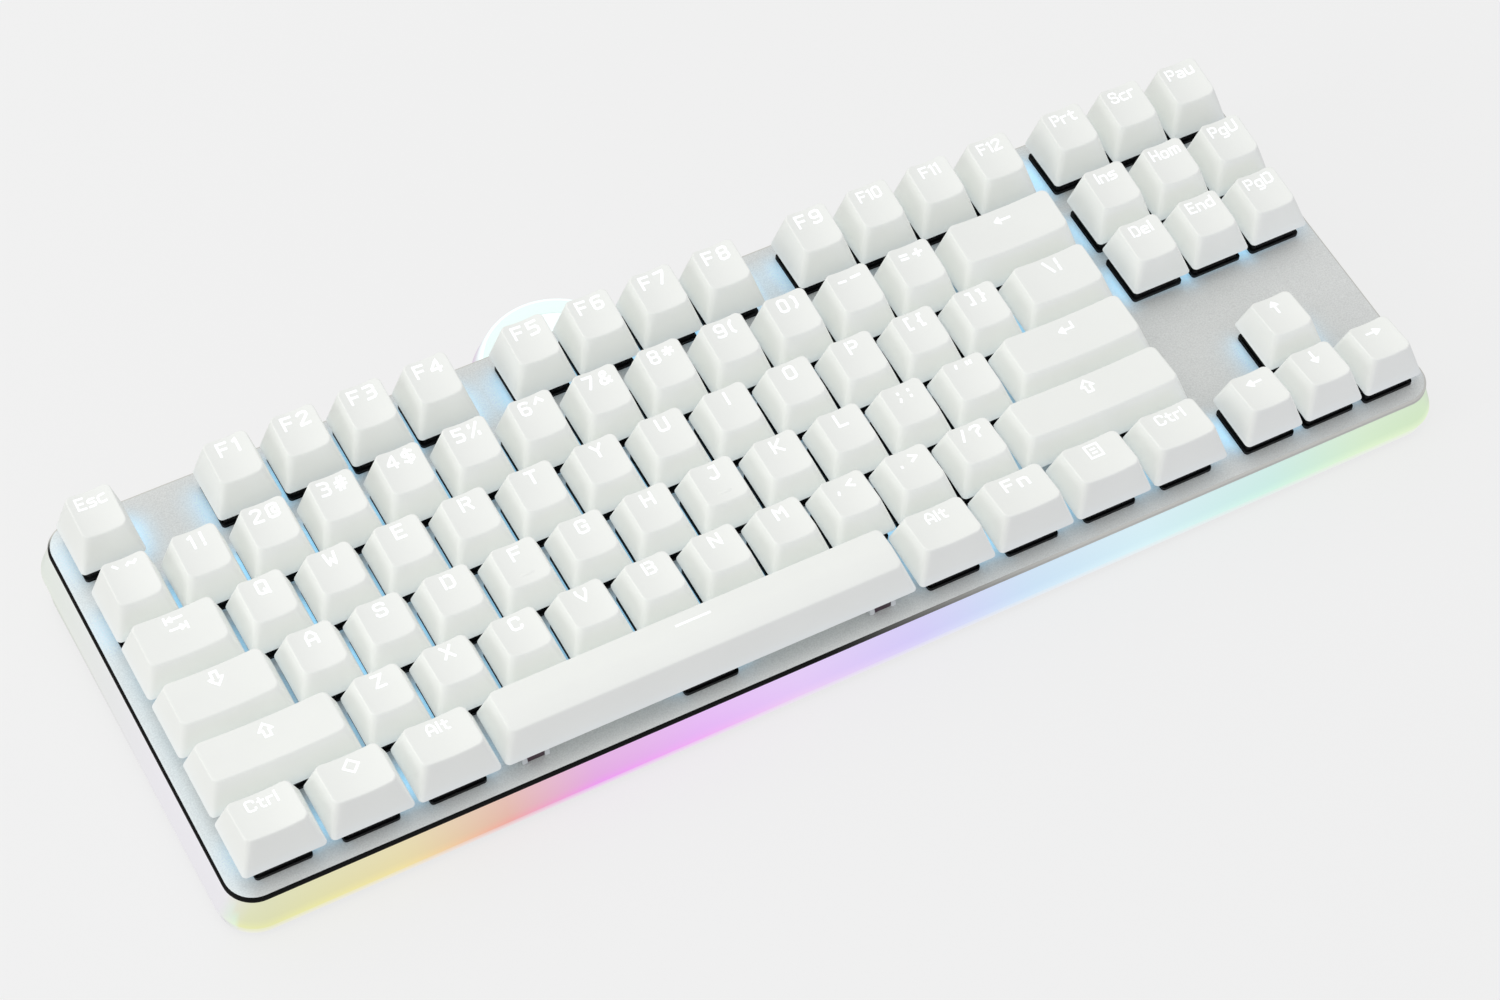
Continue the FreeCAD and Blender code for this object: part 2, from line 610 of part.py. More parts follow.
def flip_foot(x):
    hinge = V(x, FOOT_HINGE_Y, FOOT_HINGE_Z)
    half = V(FOOT_WIDTH / 2, 0, 0)
    pin = V(FOOT_WIDTH / 2 + 0.5 + PIN_LENGTH, 0, 0)
    blade_at = (x, FOOT_HINGE_Y - FOOT_LENGTH / 2, FOOT_HINGE_Z - 2.0)
    blade = box(FOOT_WIDTH, FOOT_LENGTH, FOOT_THICKNESS, blade_at)
    tip = [edge for edge in blade.Edges if abs(edge.Length - FOOT_WIDTH) < 1e-6
           and edge.CenterOfMass.y < FOOT_HINGE_Y - FOOT_LENGTH + 0.1]
    blade = blade.makeFillet(1.4, tip)
    finger = box(12, 3, 1.2, (x, FOOT_HINGE_Y - FOOT_LENGTH + 3.5, FOOT_HINGE_Z - 2.4))
    barrel = rod(FOOT_BARREL, hinge - half, hinge + half)
    return merge([blade.cut(finger), barrel, rod(PIN_RADIUS, hinge - pin, hinge + pin)])


def foot_pocket(x, grow):
    """The recess for a flip foot (grow 0) or the block that holds it (grow = wall)."""
    y0, y1 = FOOT_HINGE_Y - FOOT_LENGTH - 2.5, FOOT_HINGE_Y + 2.6
    wide = FOOT_WIDTH + 1.0 + 2 * grow
    return box(wide, y1 - y0 + 2 * grow, POCKET_HEIGHT + grow, (x, (y0 + y1) / 2, FEET_HEIGHT))


# ---- rubber feet and the case, in the desk frame ----------------------------------------------
PAD_PLACES = [(sx * 146.0, y) for sx in (-1, 1) for y in (-54.0, 56.0)]
PAD_SIZE = (34.0, 8.0)
PAD_RECESS = 0.7


def rubber_feet():
    pads = []
    for x, y in PAD_PLACES:
        pad = prism(rounded_wire(*PAD_SIZE, 3.5), FEET_HEIGHT + PAD_RECESS)
        ends = [edge for edge in pad.Edges if abs(edge.BoundBox.ZMax) < 1e-6]
        pads.append(moved(pad.makeFillet(0.5, ends), x, y))
    return Part.makeCompound(pads)


def slab(bottom, top):
    """A flat layer of the desk frame wide enough to cover the whole case."""
    return box(600, 400, top - bottom, (0, 0, bottom))


def bottom_case():
    upper = loft(case_outline(LIP_GROW, -LIP_DROP), case_outline(0.1, -PLATE_THICKNESS))
    lower = loft(case_outline(LOWER_GROW_END, -LOWER_DEPTH), case_outline(LOWER_GROW, -LIP_DROP))
    below = slab(-60, FEET_HEIGHT)
    shell = raised(merge([upper, lower])).cut(below)

    pocket = prism(case_outline(-RIM_WIDTH, -6, with_bump=False), 8)
    widening = loft(case_outline(-0.4, -9.0), case_outline(-RIM_WIDTH, -4.6))
    deep = prism(case_outline(-0.6, -LOWER_DEPTH), LOWER_DEPTH - 9.0)
    hollow = raised(merge([widening, deep])).cut(slab(-60, FEET_HEIGHT + FLOOR_THICKNESS))

    bosses = [rod(3.5, V(x, y, -LOWER_DEPTH), V(x, y, BOARD_BOTTOM)) for x, y in screw_places()]
    inside = [raised(boss).cut(below) for boss in bosses]
    inside += [foot_pocket(x, POCKET_WALL) for x in (-FOOT_X, FOOT_X)]
    shell = shell.cut(raised(pocket)).cut(hollow)
    shell = merge([shell] + inside)

    holes = [rod(SHANK_RADIUS + 0.15, V(x, y, -40), V(x, y, 0)) for x, y in screw_places()]
    holes += [rod(HEAD_RADIUS + 0.3, V(x, y, -40), V(x, y, SEAT_Z)) for x, y in screw_places()]
    holes.append(crescent(RING_OUTER - RING_WIDTH - CLEARANCE, RING_OUTER + CLEARANCE,
                          PLATE_BACK + 0.45, -PLATE_THICKNESS - RING_DEPTH, 1))
    plug_way = prism(rounded_wire(12.6, 6.4, 2.0), 30)
    plug_way.rotate(V(0, 0, 0), V(1, 0, 0), -90)
    low = BOARD_BOTTOM - SOCKET[2] / 2
    shell_way = prism(rounded_wire(SOCKET[0] + 0.3, SOCKET[2] + 0.3, 1.6), 12)
    shell_way.rotate(V(0, 0, 0), V(1, 0, 0), -90)
    holes.append(moved(plug_way, BUMP_X, SOCKET_MOUTH_Y, low))
    holes.append(moved(shell_way, BUMP_X, SOCKET_MOUTH_Y - 6, low))
    tools = [raised(hole) for hole in holes]
    for x in (-FOOT_X, FOOT_X):
        tools.append(foot_pocket(x, 0))
        hinge, pin = V(x, FOOT_HINGE_Y, FOOT_HINGE_Z), V(FOOT_WIDTH / 2 + PIN_LENGTH + 0.8, 0, 0)
        tools.append(rod(PIN_RADIUS + 0.1, hinge - pin, hinge + pin))
    for x, y in PAD_PLACES:
        recess = prism(rounded_wire(PAD_SIZE[0], PAD_SIZE[1], 3.5), 3)
        tools.append(moved(recess, x, y, FEET_HEIGHT + PAD_RECESS - 3))
    return cut_all(shell, tools)


# ---- everything, centred and written ----------------------------------------------------------
def build():
    caps = {}
    nodes = {name: raised(key_node(keys, caps)) for name, keys in KEYS.items()}
    for name, node in STABILISED.items():
        row, start, units = KEYS[node][0]
        x, y = key_centre(row, start, units)
        nodes["stabiliser_wire_" + name] = raised(moved(stabiliser_wire(stabiliser_half(units)), x, y))
    housings = Part.makeCompound([moved(stabiliser_housing(side), x, y)
                                  for x, y, side in stabiliser_places()])
    led = box(*LED_SIZE, (*LED_PLACE, BOARD_TOP))
    on_deck = {
        "top_plate": top_plate(),
        "circuit_board": circuit_board(),
        "board_chips": board_chips(),
        "edge_leds": edge_leds(),
        "key_leds": at_every_key(led),
        "switch_lower_housings": at_every_key(lower_housing()),
        "switch_upper_housings": at_every_key(upper_housing()),
        "switch_springs": at_every_key(spring()),
        "switch_contacts": at_every_key(Part.makeCompound(contacts())),
        "stabiliser_housings": housings,
        "case_fasteners": case_fasteners(),
        "rear_light_ring": rear_light_ring(),
        "usb_socket": usb_socket(),
    }
    nodes.update({name: raised(shape) for name, shape in on_deck.items()})
    nodes["bottom_case"] = bottom_case()
    nodes["rubber_feet"] = rubber_feet()
    nodes["flip_foot_left"] = flip_foot(-FOOT_X)
    nodes["flip_foot_right"] = flip_foot(FOOT_X)
    return nodes


def main():
    nodes = build()
    extent = nodes["bottom_case"].optimalBoundingBox(False)
    middle = round((extent.YMin + extent.YMax) / 2, 3)
    os.makedirs("parts", exist_ok=True)
    for name, shape in sorted(nodes.items()):
        shape.translate(V(0, -middle, 0))
        solids = shape.Solids
        print("%-34s %3d solids %9.1f mm3 %s" % (name, len(solids), shape.Volume, shape.isValid()))
        shape.exportStep("parts/%s.step" % name)
    print("deck height %.3f, centring shift %.3f, nodes %d" % (DECK_Z, -middle, len(nodes)))


main()
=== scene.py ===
import json
import math
import bpy
from mathutils import Matrix, Vector, noise
from mathutils.geometry import delaunay_2d_cdt


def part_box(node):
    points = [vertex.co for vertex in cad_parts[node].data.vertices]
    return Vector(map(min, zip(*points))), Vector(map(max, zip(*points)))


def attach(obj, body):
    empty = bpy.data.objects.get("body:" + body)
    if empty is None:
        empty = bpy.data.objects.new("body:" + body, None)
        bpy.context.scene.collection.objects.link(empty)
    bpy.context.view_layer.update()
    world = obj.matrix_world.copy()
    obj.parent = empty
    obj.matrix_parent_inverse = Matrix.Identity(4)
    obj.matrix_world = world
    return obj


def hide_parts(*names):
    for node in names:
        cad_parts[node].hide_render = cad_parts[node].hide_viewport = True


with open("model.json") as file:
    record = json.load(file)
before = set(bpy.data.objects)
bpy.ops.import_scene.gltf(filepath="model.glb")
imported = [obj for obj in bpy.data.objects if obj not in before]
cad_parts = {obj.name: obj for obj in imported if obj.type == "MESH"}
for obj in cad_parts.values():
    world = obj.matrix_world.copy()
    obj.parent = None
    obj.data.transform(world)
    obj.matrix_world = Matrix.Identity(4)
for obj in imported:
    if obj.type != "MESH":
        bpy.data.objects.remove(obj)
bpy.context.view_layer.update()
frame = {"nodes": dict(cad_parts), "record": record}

MM = 0.001

# ---- sizes, in millimetres, in the deck frame: z = 0 on the plate, origin at the key field ----
PITCH = 19.05
FUNCTION_GAP = 0.2
FIELD_UNITS = 18.25
FIELD_WIDTH = FIELD_UNITS * PITCH
FIELD_DEPTH = (6 + FUNCTION_GAP) * PITCH
LEFT, FRONT = -FIELD_WIDTH / 2, -FIELD_DEPTH / 2
MARGIN_SIDE, MARGIN_FRONT, MARGIN_BACK = 3.2, 3.0, 2.4
PLATE_HALF = FIELD_WIDTH / 2 + MARGIN_SIDE
PLATE_FRONT, PLATE_BACK = FRONT - MARGIN_FRONT, -FRONT + MARGIN_BACK
PLATE_THICKNESS = 1.5
PLATE_RADIUS = 8.0
PLATE_OVER, PLATE_BEVEL = 0.3, 0.32      # plate edge outside the case top, and its bevel
LIP_DROP, LIP_GROW, LIP_ROUND = 10.0, 3.0, 0.5
LOWER_GROW, LOWER_GROW_END, LOWER_DEPTH = 2.2, 0.2, 32.0
RIM_WIDTH = 2.4
FEET_HEIGHT = 1.0
FLOOR_THICKNESS = 2.2
BUMP_X, BUMP_Y, BUMP_RADIUS, BUMP_FILLET = LEFT + 7.5 * PITCH, 53.1, 20.9, 5.0
RING_OUTER, RING_WIDTH, RING_DEPTH, RING_PROUD = 20.2, 4.3, 1.9, 0.2
BOARD_BOTTOM = -6.6
SKIRT_Z = 5.5
KEY_GAP = 0.95
SKIRT_RADIUS, TOP_RADIUS = 1.3, 1.9
TOP_SIDE_INSET, TOP_FRONT_INSET, TOP_BACK_INSET = 3.0, 3.9, 1.2
DISH_DEPTH, CROWN_RADIUS = 0.85, 24.0
CAP_WALL, CAP_ROOF = 1.4, 1.4
EDGE_ROUND, EDGE_SUPPORT, EDGE_STEPS = 0.34, 0.12, 4
STAB_SHORT, STAB_LONG = 11.94, 50.0
SLIDER_X, SLIDER_Y, SLIDER_BOTTOM, SLIDER_TOP, CROSS_TOP = 7.0, 5.6, 0.7, 6.6, 10.2
SPRING_BORE, SPRING_BORE_TOP = 4.8, 2.7
FLANGE, FLANGE_TOP = 15.6, 1.0

# ---- layout: row -> start in units, front and back height of the cap above its skirt ----
ROWS = {
    "space": (0.0, 10.0, 8.4),
    "lower": (1.0, 9.5, 8.3),
    "home": (2.0, 8.4, 8.6),
    "upper": (3.0, 8.7, 9.4),
    "number": (4.0, 10.2, 11.4),
    "function": (5.0 + FUNCTION_GAP, 10.2, 11.6),
}
TYPING_STARTS = (("number", 1.0), ("upper", 1.5), ("home", 1.75), ("lower", 2.25))
COLUMNS = ("1qaz", "2wsx", "3edc", "4rfv", "5tgb", "6yhn", "7ujm", "8ik_comma", "9ol_period",
           "0p_semicolon_slash")
COLUMN_LEGENDS = ("1! Q A Z", "2@ W S X", "3# E D C", "4$ R F V", "5% T G B", "6^ Y H N",
                  "7& U J M", "8* I K ,<", "9( O L .>", "0) P ;: /?")

# body -> list of (piece name, row, start, units, legend)
KEYS = {"key_escape": [("escape", "function", 0, 1, "Esc")]}
for number, start in enumerate((2, 6.5, 11)):
    first = 4 * number + 1
    KEYS["keys_f%d_to_f%d" % (first, first + 3)] = [
        ("f%d" % (first + i), "function", start + i, 1, "F%d" % (first + i)) for i in range(4)]
for column, (name, legends) in enumerate(zip(COLUMNS, COLUMN_LEGENDS)):
    letters, *words = name.split("_")
    KEYS["keys_" + name] = [
        (piece, row, start + column, 1, legend)
        for piece, (row, start), legend in zip([*letters, *words], TYPING_STARTS, legends.split())]
# the other keys, as body: piece row start units legend
OTHER_KEYS = r"""
keys_minus_equals_brackets_quote: minus number 11 1 -_; equals number 12 1 =+
keys_minus_equals_brackets_quote: bracket_open upper 11.5 1 [{; bracket_close upper 12.5 1 ]}
keys_minus_equals_brackets_quote: quote home 11.75 1 '"
key_grave: grave number 0 1 `~
key_backspace: backspace number 13 2 <backspace>
key_tab: tab upper 0 1.5 <tab>
key_backslash: backslash upper 13.5 1.5 \|
key_caps_lock: caps_lock home 0 1.75 <caps>
key_enter: enter home 12.75 2.25 <enter>
key_left_shift: left_shift lower 0 2.25 <shift>
key_right_shift: right_shift lower 12.25 2.75 <shift>
key_left_control: left_control space 0 1.25 Ctrl
key_super: super space 1.25 1.25 <diamond>
key_left_alt: left_alt space 2.5 1.25 Alt
key_space: space space 3.75 6.25 <bar>
key_right_alt: right_alt space 10 1.25 Alt
key_function: function space 11.25 1.25 Fn
key_menu: menu space 12.5 1.25 <menu>
key_right_control: right_control space 13.75 1.25 Ctrl
key_up: up lower 16.25 1 <up>
key_left: left space 15.25 1 <left>
key_down: down space 16.25 1 <down>
key_right: right space 17.25 1 <right>
keys_print_insert_delete: print function 15.25 1 Prt; insert number 15.25 1 Ins; delete upper 15.25 1 Del
keys_scroll_home_end: scroll function 16.25 1 Scr; home number 16.25 1 Hom; end upper 16.25 1 End
keys_pause_page_up_down: pause function 17.25 1 Pau; page_up number 17.25 1 PgU; page_down upper 17.25 1 PgD
"""
for entry in OTHER_KEYS.split("\n")[1:-1]:
    body, pieces = entry.split(": ")
    for piece, row, start, units, legend in (words.split() for words in pieces.split("; ")):
        KEYS.setdefault(body, []).append((piece, row, float(start), float(units), legend))


def key_centre(row, start, units):
    return (LEFT + (start + units / 2) * PITCH, FRONT + (ROWS[row][0] + 0.5) * PITCH)


ALL_KEYS = [key for group in KEYS.values() for key in group]
CENTRES = [key_centre(*key[1:4]) for key in ALL_KEYS]


def stabiliser_offsets(units):
    if units < 2:
        return ()
    half = STAB_LONG if units > 3 else STAB_SHORT
    return (-half, half)


STAB_PLACES = [(key_centre(*key[1:4])[0] + dx, key_centre(*key[1:4])[1])
               for key in ALL_KEYS for dx in stabiliser_offsets(key[3])]

# ---- the deck's place, read from the record and the plate's box ----
slide_axis = next(j["axis"] for j in frame["record"]["behaviour"]["joints"] if j["type"] == "slide")
TILT = math.atan2(slide_axis[1], -slide_axis[2])
SIN, COS = math.sin(TILT), math.cos(TILT)
CAD_PLATE_BEVEL = 0.25
plate_low, plate_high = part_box("top_plate")
DECK_Y = plate_low.y / MM - PLATE_FRONT * COS - CAD_PLATE_BEVEL * SIN
DECK_Z = plate_high.z / MM - (PLATE_BACK - CAD_PLATE_BEVEL) * SIN


def to_desk(p):
    """Deck millimetres to the row frame in metres."""
    x, y, z = p
    return (x * MM, (y * COS - z * SIN + DECK_Y) * MM, (y * SIN + z * COS + DECK_Z) * MM)


# ---- mesh helpers ----
class Shape:
    """Vertices in deck millimetres, faces and a material number for each face."""

    def __init__(self):
        self.verts, self.faces, self.mats = [], [], []

    def add(self, verts, faces, mat=0):
        """Adds faces numbered from the first of verts, or from the shape's own first with no verts."""
        base = len(self.verts) if verts else 0
        self.verts += [tuple(v) for v in verts]
        self.faces += [tuple(base + i for i in face) for face in faces]
        self.mats += [mat] * len(faces)

    def merge(self, other, at=(0, 0, 0)):
        base = len(self.verts)
        self.verts += [(v[0] + at[0], v[1] + at[1], v[2] + at[2]) for v in other.verts]
        self.faces += [tuple(base + i for i in face) for face in other.faces]
        self.mats += other.mats

    def tube(self, rings, mat=0, cap_first=True, cap_last=True):
        """Closed rings of equal length joined in order; outward faces for rings going up."""
        n = len(rings[0])
        verts = [p for ring in rings for p in ring]
        faces = []
        for k in range(len(rings) - 1):
            a, b = k * n, (k + 1) * n
            faces += [(a + i, a + (i + 1) % n, b + (i + 1) % n, b + i) for i in range(n)]
        if cap_first:
            faces.append(tuple(reversed(range(n))))
        if cap_last:
            faces.append(tuple(range((len(rings) - 1) * n, len(rings) * n)))
        self.add(verts, faces, mat)

    def box(self, x, y, z, at, mat=0, bevel=0.15):
        """Box with bevelled edges, centred on at in x and y, standing on at.z."""
        rings = []
        for inset, height in ((bevel, 0), (0, bevel), (0, z - bevel), (bevel, z)):
            rings.append(rounded_rect(x - 2 * inset, y - 2 * inset, max(bevel - inset, 0.02), 2,
                                      (at[0], at[1], at[2] + height)))
        self.tube(rings, mat)


def share(value):
    """The value held between 0 and 1."""
    return max(0.0, min(1.0, value))


def lerp(a, b, f):
    return a + (b - a) * f


def blend(first, second, f):
    return [lerp(p, q, f) for p, q in zip(first, second)]


def arc(cx, cy, r, begin, steps, extra=0):
    """Quarter circle counter-clockwise from begin degrees; extra=1 keeps its last point."""
    turns = (math.radians(begin + 90 * k / steps) for k in range(steps + extra))
    return [(cx + r * math.cos(a), cy + r * math.sin(a)) for a in turns]


def rounded_rect(x, y, radius, steps, at=(0, 0, 0)):
    """Counter-clockwise ring, steps segments in each corner."""
    a, b = x / 2 - radius, y / 2 - radius
    corners = ((a, -b, -90), (a, b, 0), (-a, b, 90), (-a, -b, 180))
    return [(*point, at[2]) for cx, cy, begin in corners
            for point in arc(at[0] + cx, at[1] + cy, radius, begin, steps, 1)]


def circle(radius, steps, at=(0, 0, 0), begin=0.0):
    return [(at[0] + radius * math.cos(begin + 2 * math.pi * k / steps),
             at[1] + radius * math.sin(begin + 2 * math.pi * k / steps), at[2]) for k in range(steps)]


SMOOTH_ANGLE = math.radians(32)


def add_object(name, data):
    obj = bpy.data.objects.new(name, data)
    bpy.context.scene.collection.objects.link(obj)
    return obj


def mesh_object(name, shape, desk=False):
    """Mesh object from a shape; desk=True if its points are already in desk millimetres."""
    mesh = bpy.data.meshes.new(name)
    place = (lambda p: tuple(c * MM for c in p)) if desk else to_desk
    mesh.from_pydata([place(v) for v in shape.verts], [], shape.faces)
    return add_object(name, mesh)


def make(name, shape, materials, body, replaces=(), desk=False, angle=SMOOTH_ANGLE):
    """Finished piece that rides on a body and stands for the CAD nodes in replaces."""
    obj = mesh_object(name, shape, desk)
    mesh = obj.data
    mesh.polygons.foreach_set("material_index", shape.mats)
    mesh.polygons.foreach_set("use_smooth", [True] * len(mesh.polygons))
    for material in materials:
        mesh.materials.append(material)
    mesh.set_sharp_from_angle(angle=angle)
    mesh.update()
    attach(obj, body)
    if replaces:
        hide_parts(*replaces)
    return obj


def paint(obj, name, colour_at):
    """Point colour attribute; colour_at takes deck millimetres."""
    mesh = obj.data
    layer = mesh.color_attributes.new(name, "FLOAT_COLOR", "POINT")
    values = []
    for v in mesh.vertices:
        y, z = v.co.y / MM - DECK_Y, v.co.z / MM - DECK_Z
        values += [*colour_at(v.co.x / MM, y * COS + z * SIN, -y * SIN + z * COS), 1.0]
    layer.data.foreach_set("color", values)


# ---- materials ----
def material(name, base, roughness, metallic=0.0, grain=None, tone=None, **sockets):
    """Principled material. grain = (scale per metre, bump distance in mm, strength);
    tone = (scale per metre, how much the colour varies)."""
    mat = bpy.data.materials.new(name)
    mat.use_nodes = True
    nodes, links = mat.node_tree.nodes, mat.node_tree.links
    bsdf = nodes["Principled BSDF"]
    bsdf.inputs["Base Color"].default_value = (*base, 1)
    bsdf.inputs["Roughness"].default_value = roughness
    bsdf.inputs["Metallic"].default_value = metallic
    for key, value in sockets.items():
        bsdf.inputs[key.replace("_", " ")].default_value = value
    where = nodes.new("ShaderNodeTexCoord")

    def noise_texture(scale, detail):
        texture = nodes.new("ShaderNodeTexNoise")
        texture.inputs["Scale"].default_value = scale
        texture.inputs["Detail"].default_value = detail
        links.new(where.outputs["Object"], texture.inputs["Vector"])
        return texture.outputs["Fac"]

    if grain:
        bump = nodes.new("ShaderNodeBump")
        bump.inputs["Distance"].default_value = grain[1] * MM
        bump.inputs["Strength"].default_value = grain[2]
        links.new(noise_texture(grain[0], 3), bump.inputs["Height"])
        links.new(bump.outputs["Normal"], bsdf.inputs["Normal"])
    if tone:
        ramp = nodes.new("ShaderNodeValToRGB")
        for stop, position, change in zip(ramp.color_ramp.elements, (0.3, 0.7), (-tone[1], tone[1])):
            stop.position = position
            stop.color = (*[min(1, c * (1 + change)) for c in base], 1)
        links.new(noise_texture(tone[0], 4), ramp.inputs["Fac"])
        links.new(ramp.outputs["Color"], bsdf.inputs["Base Color"])
    return mat


def attribute_colour(mat, name, emission=None):
    """Takes the base colour, and with emission the glow, from colour attributes of the mesh."""
    bsdf = mat.node_tree.nodes["Principled BSDF"]
    for attribute, socket in ((name, "Base Color"), (emission, "Emission Color")):
        if attribute:
            source = mat.node_tree.nodes.new("ShaderNodeAttribute")
            source.attribute_name = attribute
            mat.node_tree.links.new(source.outputs["Color"], bsdf.inputs[socket])
    if emission:
        bsdf.inputs["Emission Strength"].default_value = 1.0


CAP = material("cap_plastic", (0.85, 0.862, 0.832), 0.5, grain=(2600, 0.02, 0.35), tone=(60, 0.012))
# legends: white print with a painted glow, emission that lifts them above the lit tops
LEGEND = material("legend_plastic_painted_glow", (0.95, 0.97, 1.0), 0.5, Emission_Color=(0.93, 0.98, 1.0, 1),
                  Emission_Strength=0.38)
BLACK = material("switch_black", (0.006, 0.006, 0.007), 0.5, grain=(1500, 0.02, 0.3),
                 tone=(300, 0.2), Specular_IOR_Level=0.2)
STEM = material("stem_blue", (0.02, 0.06, 0.25), 0.35, tone=(300, 0.1))
MILKY = material("stabiliser_milky", (0.72, 0.75, 0.76), 0.28, tone=(200, 0.08), Coat_Weight=0.3)
# painted shade for the front opening of a stabiliser, tinted dark red-violet
OPENING_SHADE = material("stabiliser_opening_shade", (0.045, 0.014, 0.03), 0.35, tone=(300, 0.4))
STEEL = material("wire_steel", (0.55, 0.55, 0.57), 0.25, 1.0, tone=(500, 0.1))
SHELL = material("socket_steel", (0.62, 0.63, 0.65), 0.28, 1.0, grain=(900, 0.01, 0.3))
SAND = material("plate_sandblasted", (0.71, 0.725, 0.712), 0.6, 0.3, grain=(2300, 0.04, 0.7),
                tone=(2600, 0.10))
EDGE = material("plate_polished_edge", (0.01, 0.01, 0.01), 0.5, Specular_IOR_Level=0.08)
FROST = material("case_frosted", (0.8, 0.8, 0.8), 0.38, grain=(700, 0.03, 0.25), Coat_Weight=0.15)
RING = material("ring_light", (0.5, 0.6, 0.58), 0.4, Emission_Color=(0.88, 1.0, 0.97, 1),
                Emission_Strength=0.48, grain=(500, 0.02, 0.2))
PAD = material("pad_rubber", (0.32, 0.325, 0.33), 0.85, grain=(1800, 0.05, 0.6), tone=(150, 0.1))
FOOT = material("foot_plastic", (0.66, 0.67, 0.68), 0.5, grain=(1500, 0.02, 0.3), tone=(80, 0.03))
SCREW = material("screw_steel", (0.3, 0.3, 0.31), 0.3, 1.0, grain=(2000, 0.01, 0.4))
BOARD = material("board_mask", (0.02, 0.09, 0.045), 0.4, tone=(200, 0.2))
CHIP = material("chip_black", (0.02, 0.02, 0.022), 0.5, grain=(2500, 0.01, 0.3))
LAMP = material("led_clear", (0.85, 0.93, 1.0), 0.3, Emission_Color=(0.7, 0.9, 1.0, 1),
                Emission_Strength=2.0)
BRASS = material("contact_brass", (0.7, 0.5, 0.2), 0.3, 1.0, tone=(900, 0.1))


# ---- keycaps ----
CORNER_STEPS = 5
SIDE_STEPS = 2
HALF_CAP = (PITCH - KEY_GAP) / 2


class CapForm:
    """The outer form of one cap: where its top surface lies."""

    def __init__(self, row, units):
        _, self.front, self.back = ROWS[row]
        self.units = units
        self.half = (units * PITCH - KEY_GAP) / 2
        self.top_half = self.half - TOP_SIDE_INSET
        self.y_front = -HALF_CAP + TOP_FRONT_INSET
        self.y_back = HALF_CAP - TOP_BACK_INSET
        self.convex = units > 3
        self.across = max(8, round(7 * units))

    def top(self, x, y):
        plane = lerp(self.front, self.back, (y - self.y_front) / (self.y_back - self.y_front))
        if self.convex:
            off = y - (self.y_front + self.y_back) / 2
            middle = (self.front + self.back) / 2
            return min(plane, middle - CROWN_RADIUS + math.sqrt(CROWN_RADIUS ** 2 - off ** 2))
        return plane - DISH_DEPTH * max(0.0, 1 - (x / self.top_half) ** 2)

    def outline(self, rise, inset, shrink=0.0):
        """Ring at a share rise of the height, inset inwards on the top; shrink is for the inside."""
        a = lerp(self.half, self.top_half, rise) - inset - shrink
        y0 = lerp(-HALF_CAP, self.y_front, rise) + inset + shrink
        y1 = lerp(HALF_CAP, self.y_back, rise) - inset - shrink
        r = max(0.45, lerp(SKIRT_RADIUS, TOP_RADIUS, rise) - 0.6 * inset - 0.5 * shrink)
        ring = [(lerp(-a + r, a - r, k / self.across), y0) for k in range(self.across)]
        ring += arc(a - r, y0 + r, r, -90, CORNER_STEPS)
        ring += [(a, lerp(y0 + r, y1 - r, k / SIDE_STEPS)) for k in range(SIDE_STEPS)]
        ring += arc(a - r, y1 - r, r, 0, CORNER_STEPS)
        ring += [(lerp(a - r, -a + r, k / self.across), y1) for k in range(self.across)]
        ring += arc(-a + r, y1 - r, r, 90, CORNER_STEPS)
        ring += [(-a, lerp(y1 - r, y0 + r, k / SIDE_STEPS)) for k in range(SIDE_STEPS)]
        ring += arc(-a + r, y0 + r, r, 180, CORNER_STEPS)
        return ring


def close_across(ring, across):
    """Faces of a flat or cylindrical lid: strips from the front of the ring to its back."""
    n = len(ring)
    front = list(range(n - CORNER_STEPS, n)) + list(range(across + CORNER_STEPS + 1))
    right_side = list(range(across + CORNER_STEPS, across + CORNER_STEPS + SIDE_STEPS + 1))
    back_start = across + CORNER_STEPS + SIDE_STEPS
    back = list(range(back_start, back_start + 2 * CORNER_STEPS + across + 1))
    left_side = list(range(back[-1], n - CORNER_STEPS + 1))
    back.reverse()
    faces = [(front[k], front[k + 1], back[k + 1], back[k]) for k in range(1, len(front) - 2)]
    faces.append(tuple(left_side + [front[1], back[1]]))
    faces.append(tuple(right_side + [back[-2], front[-2]]))
    return faces


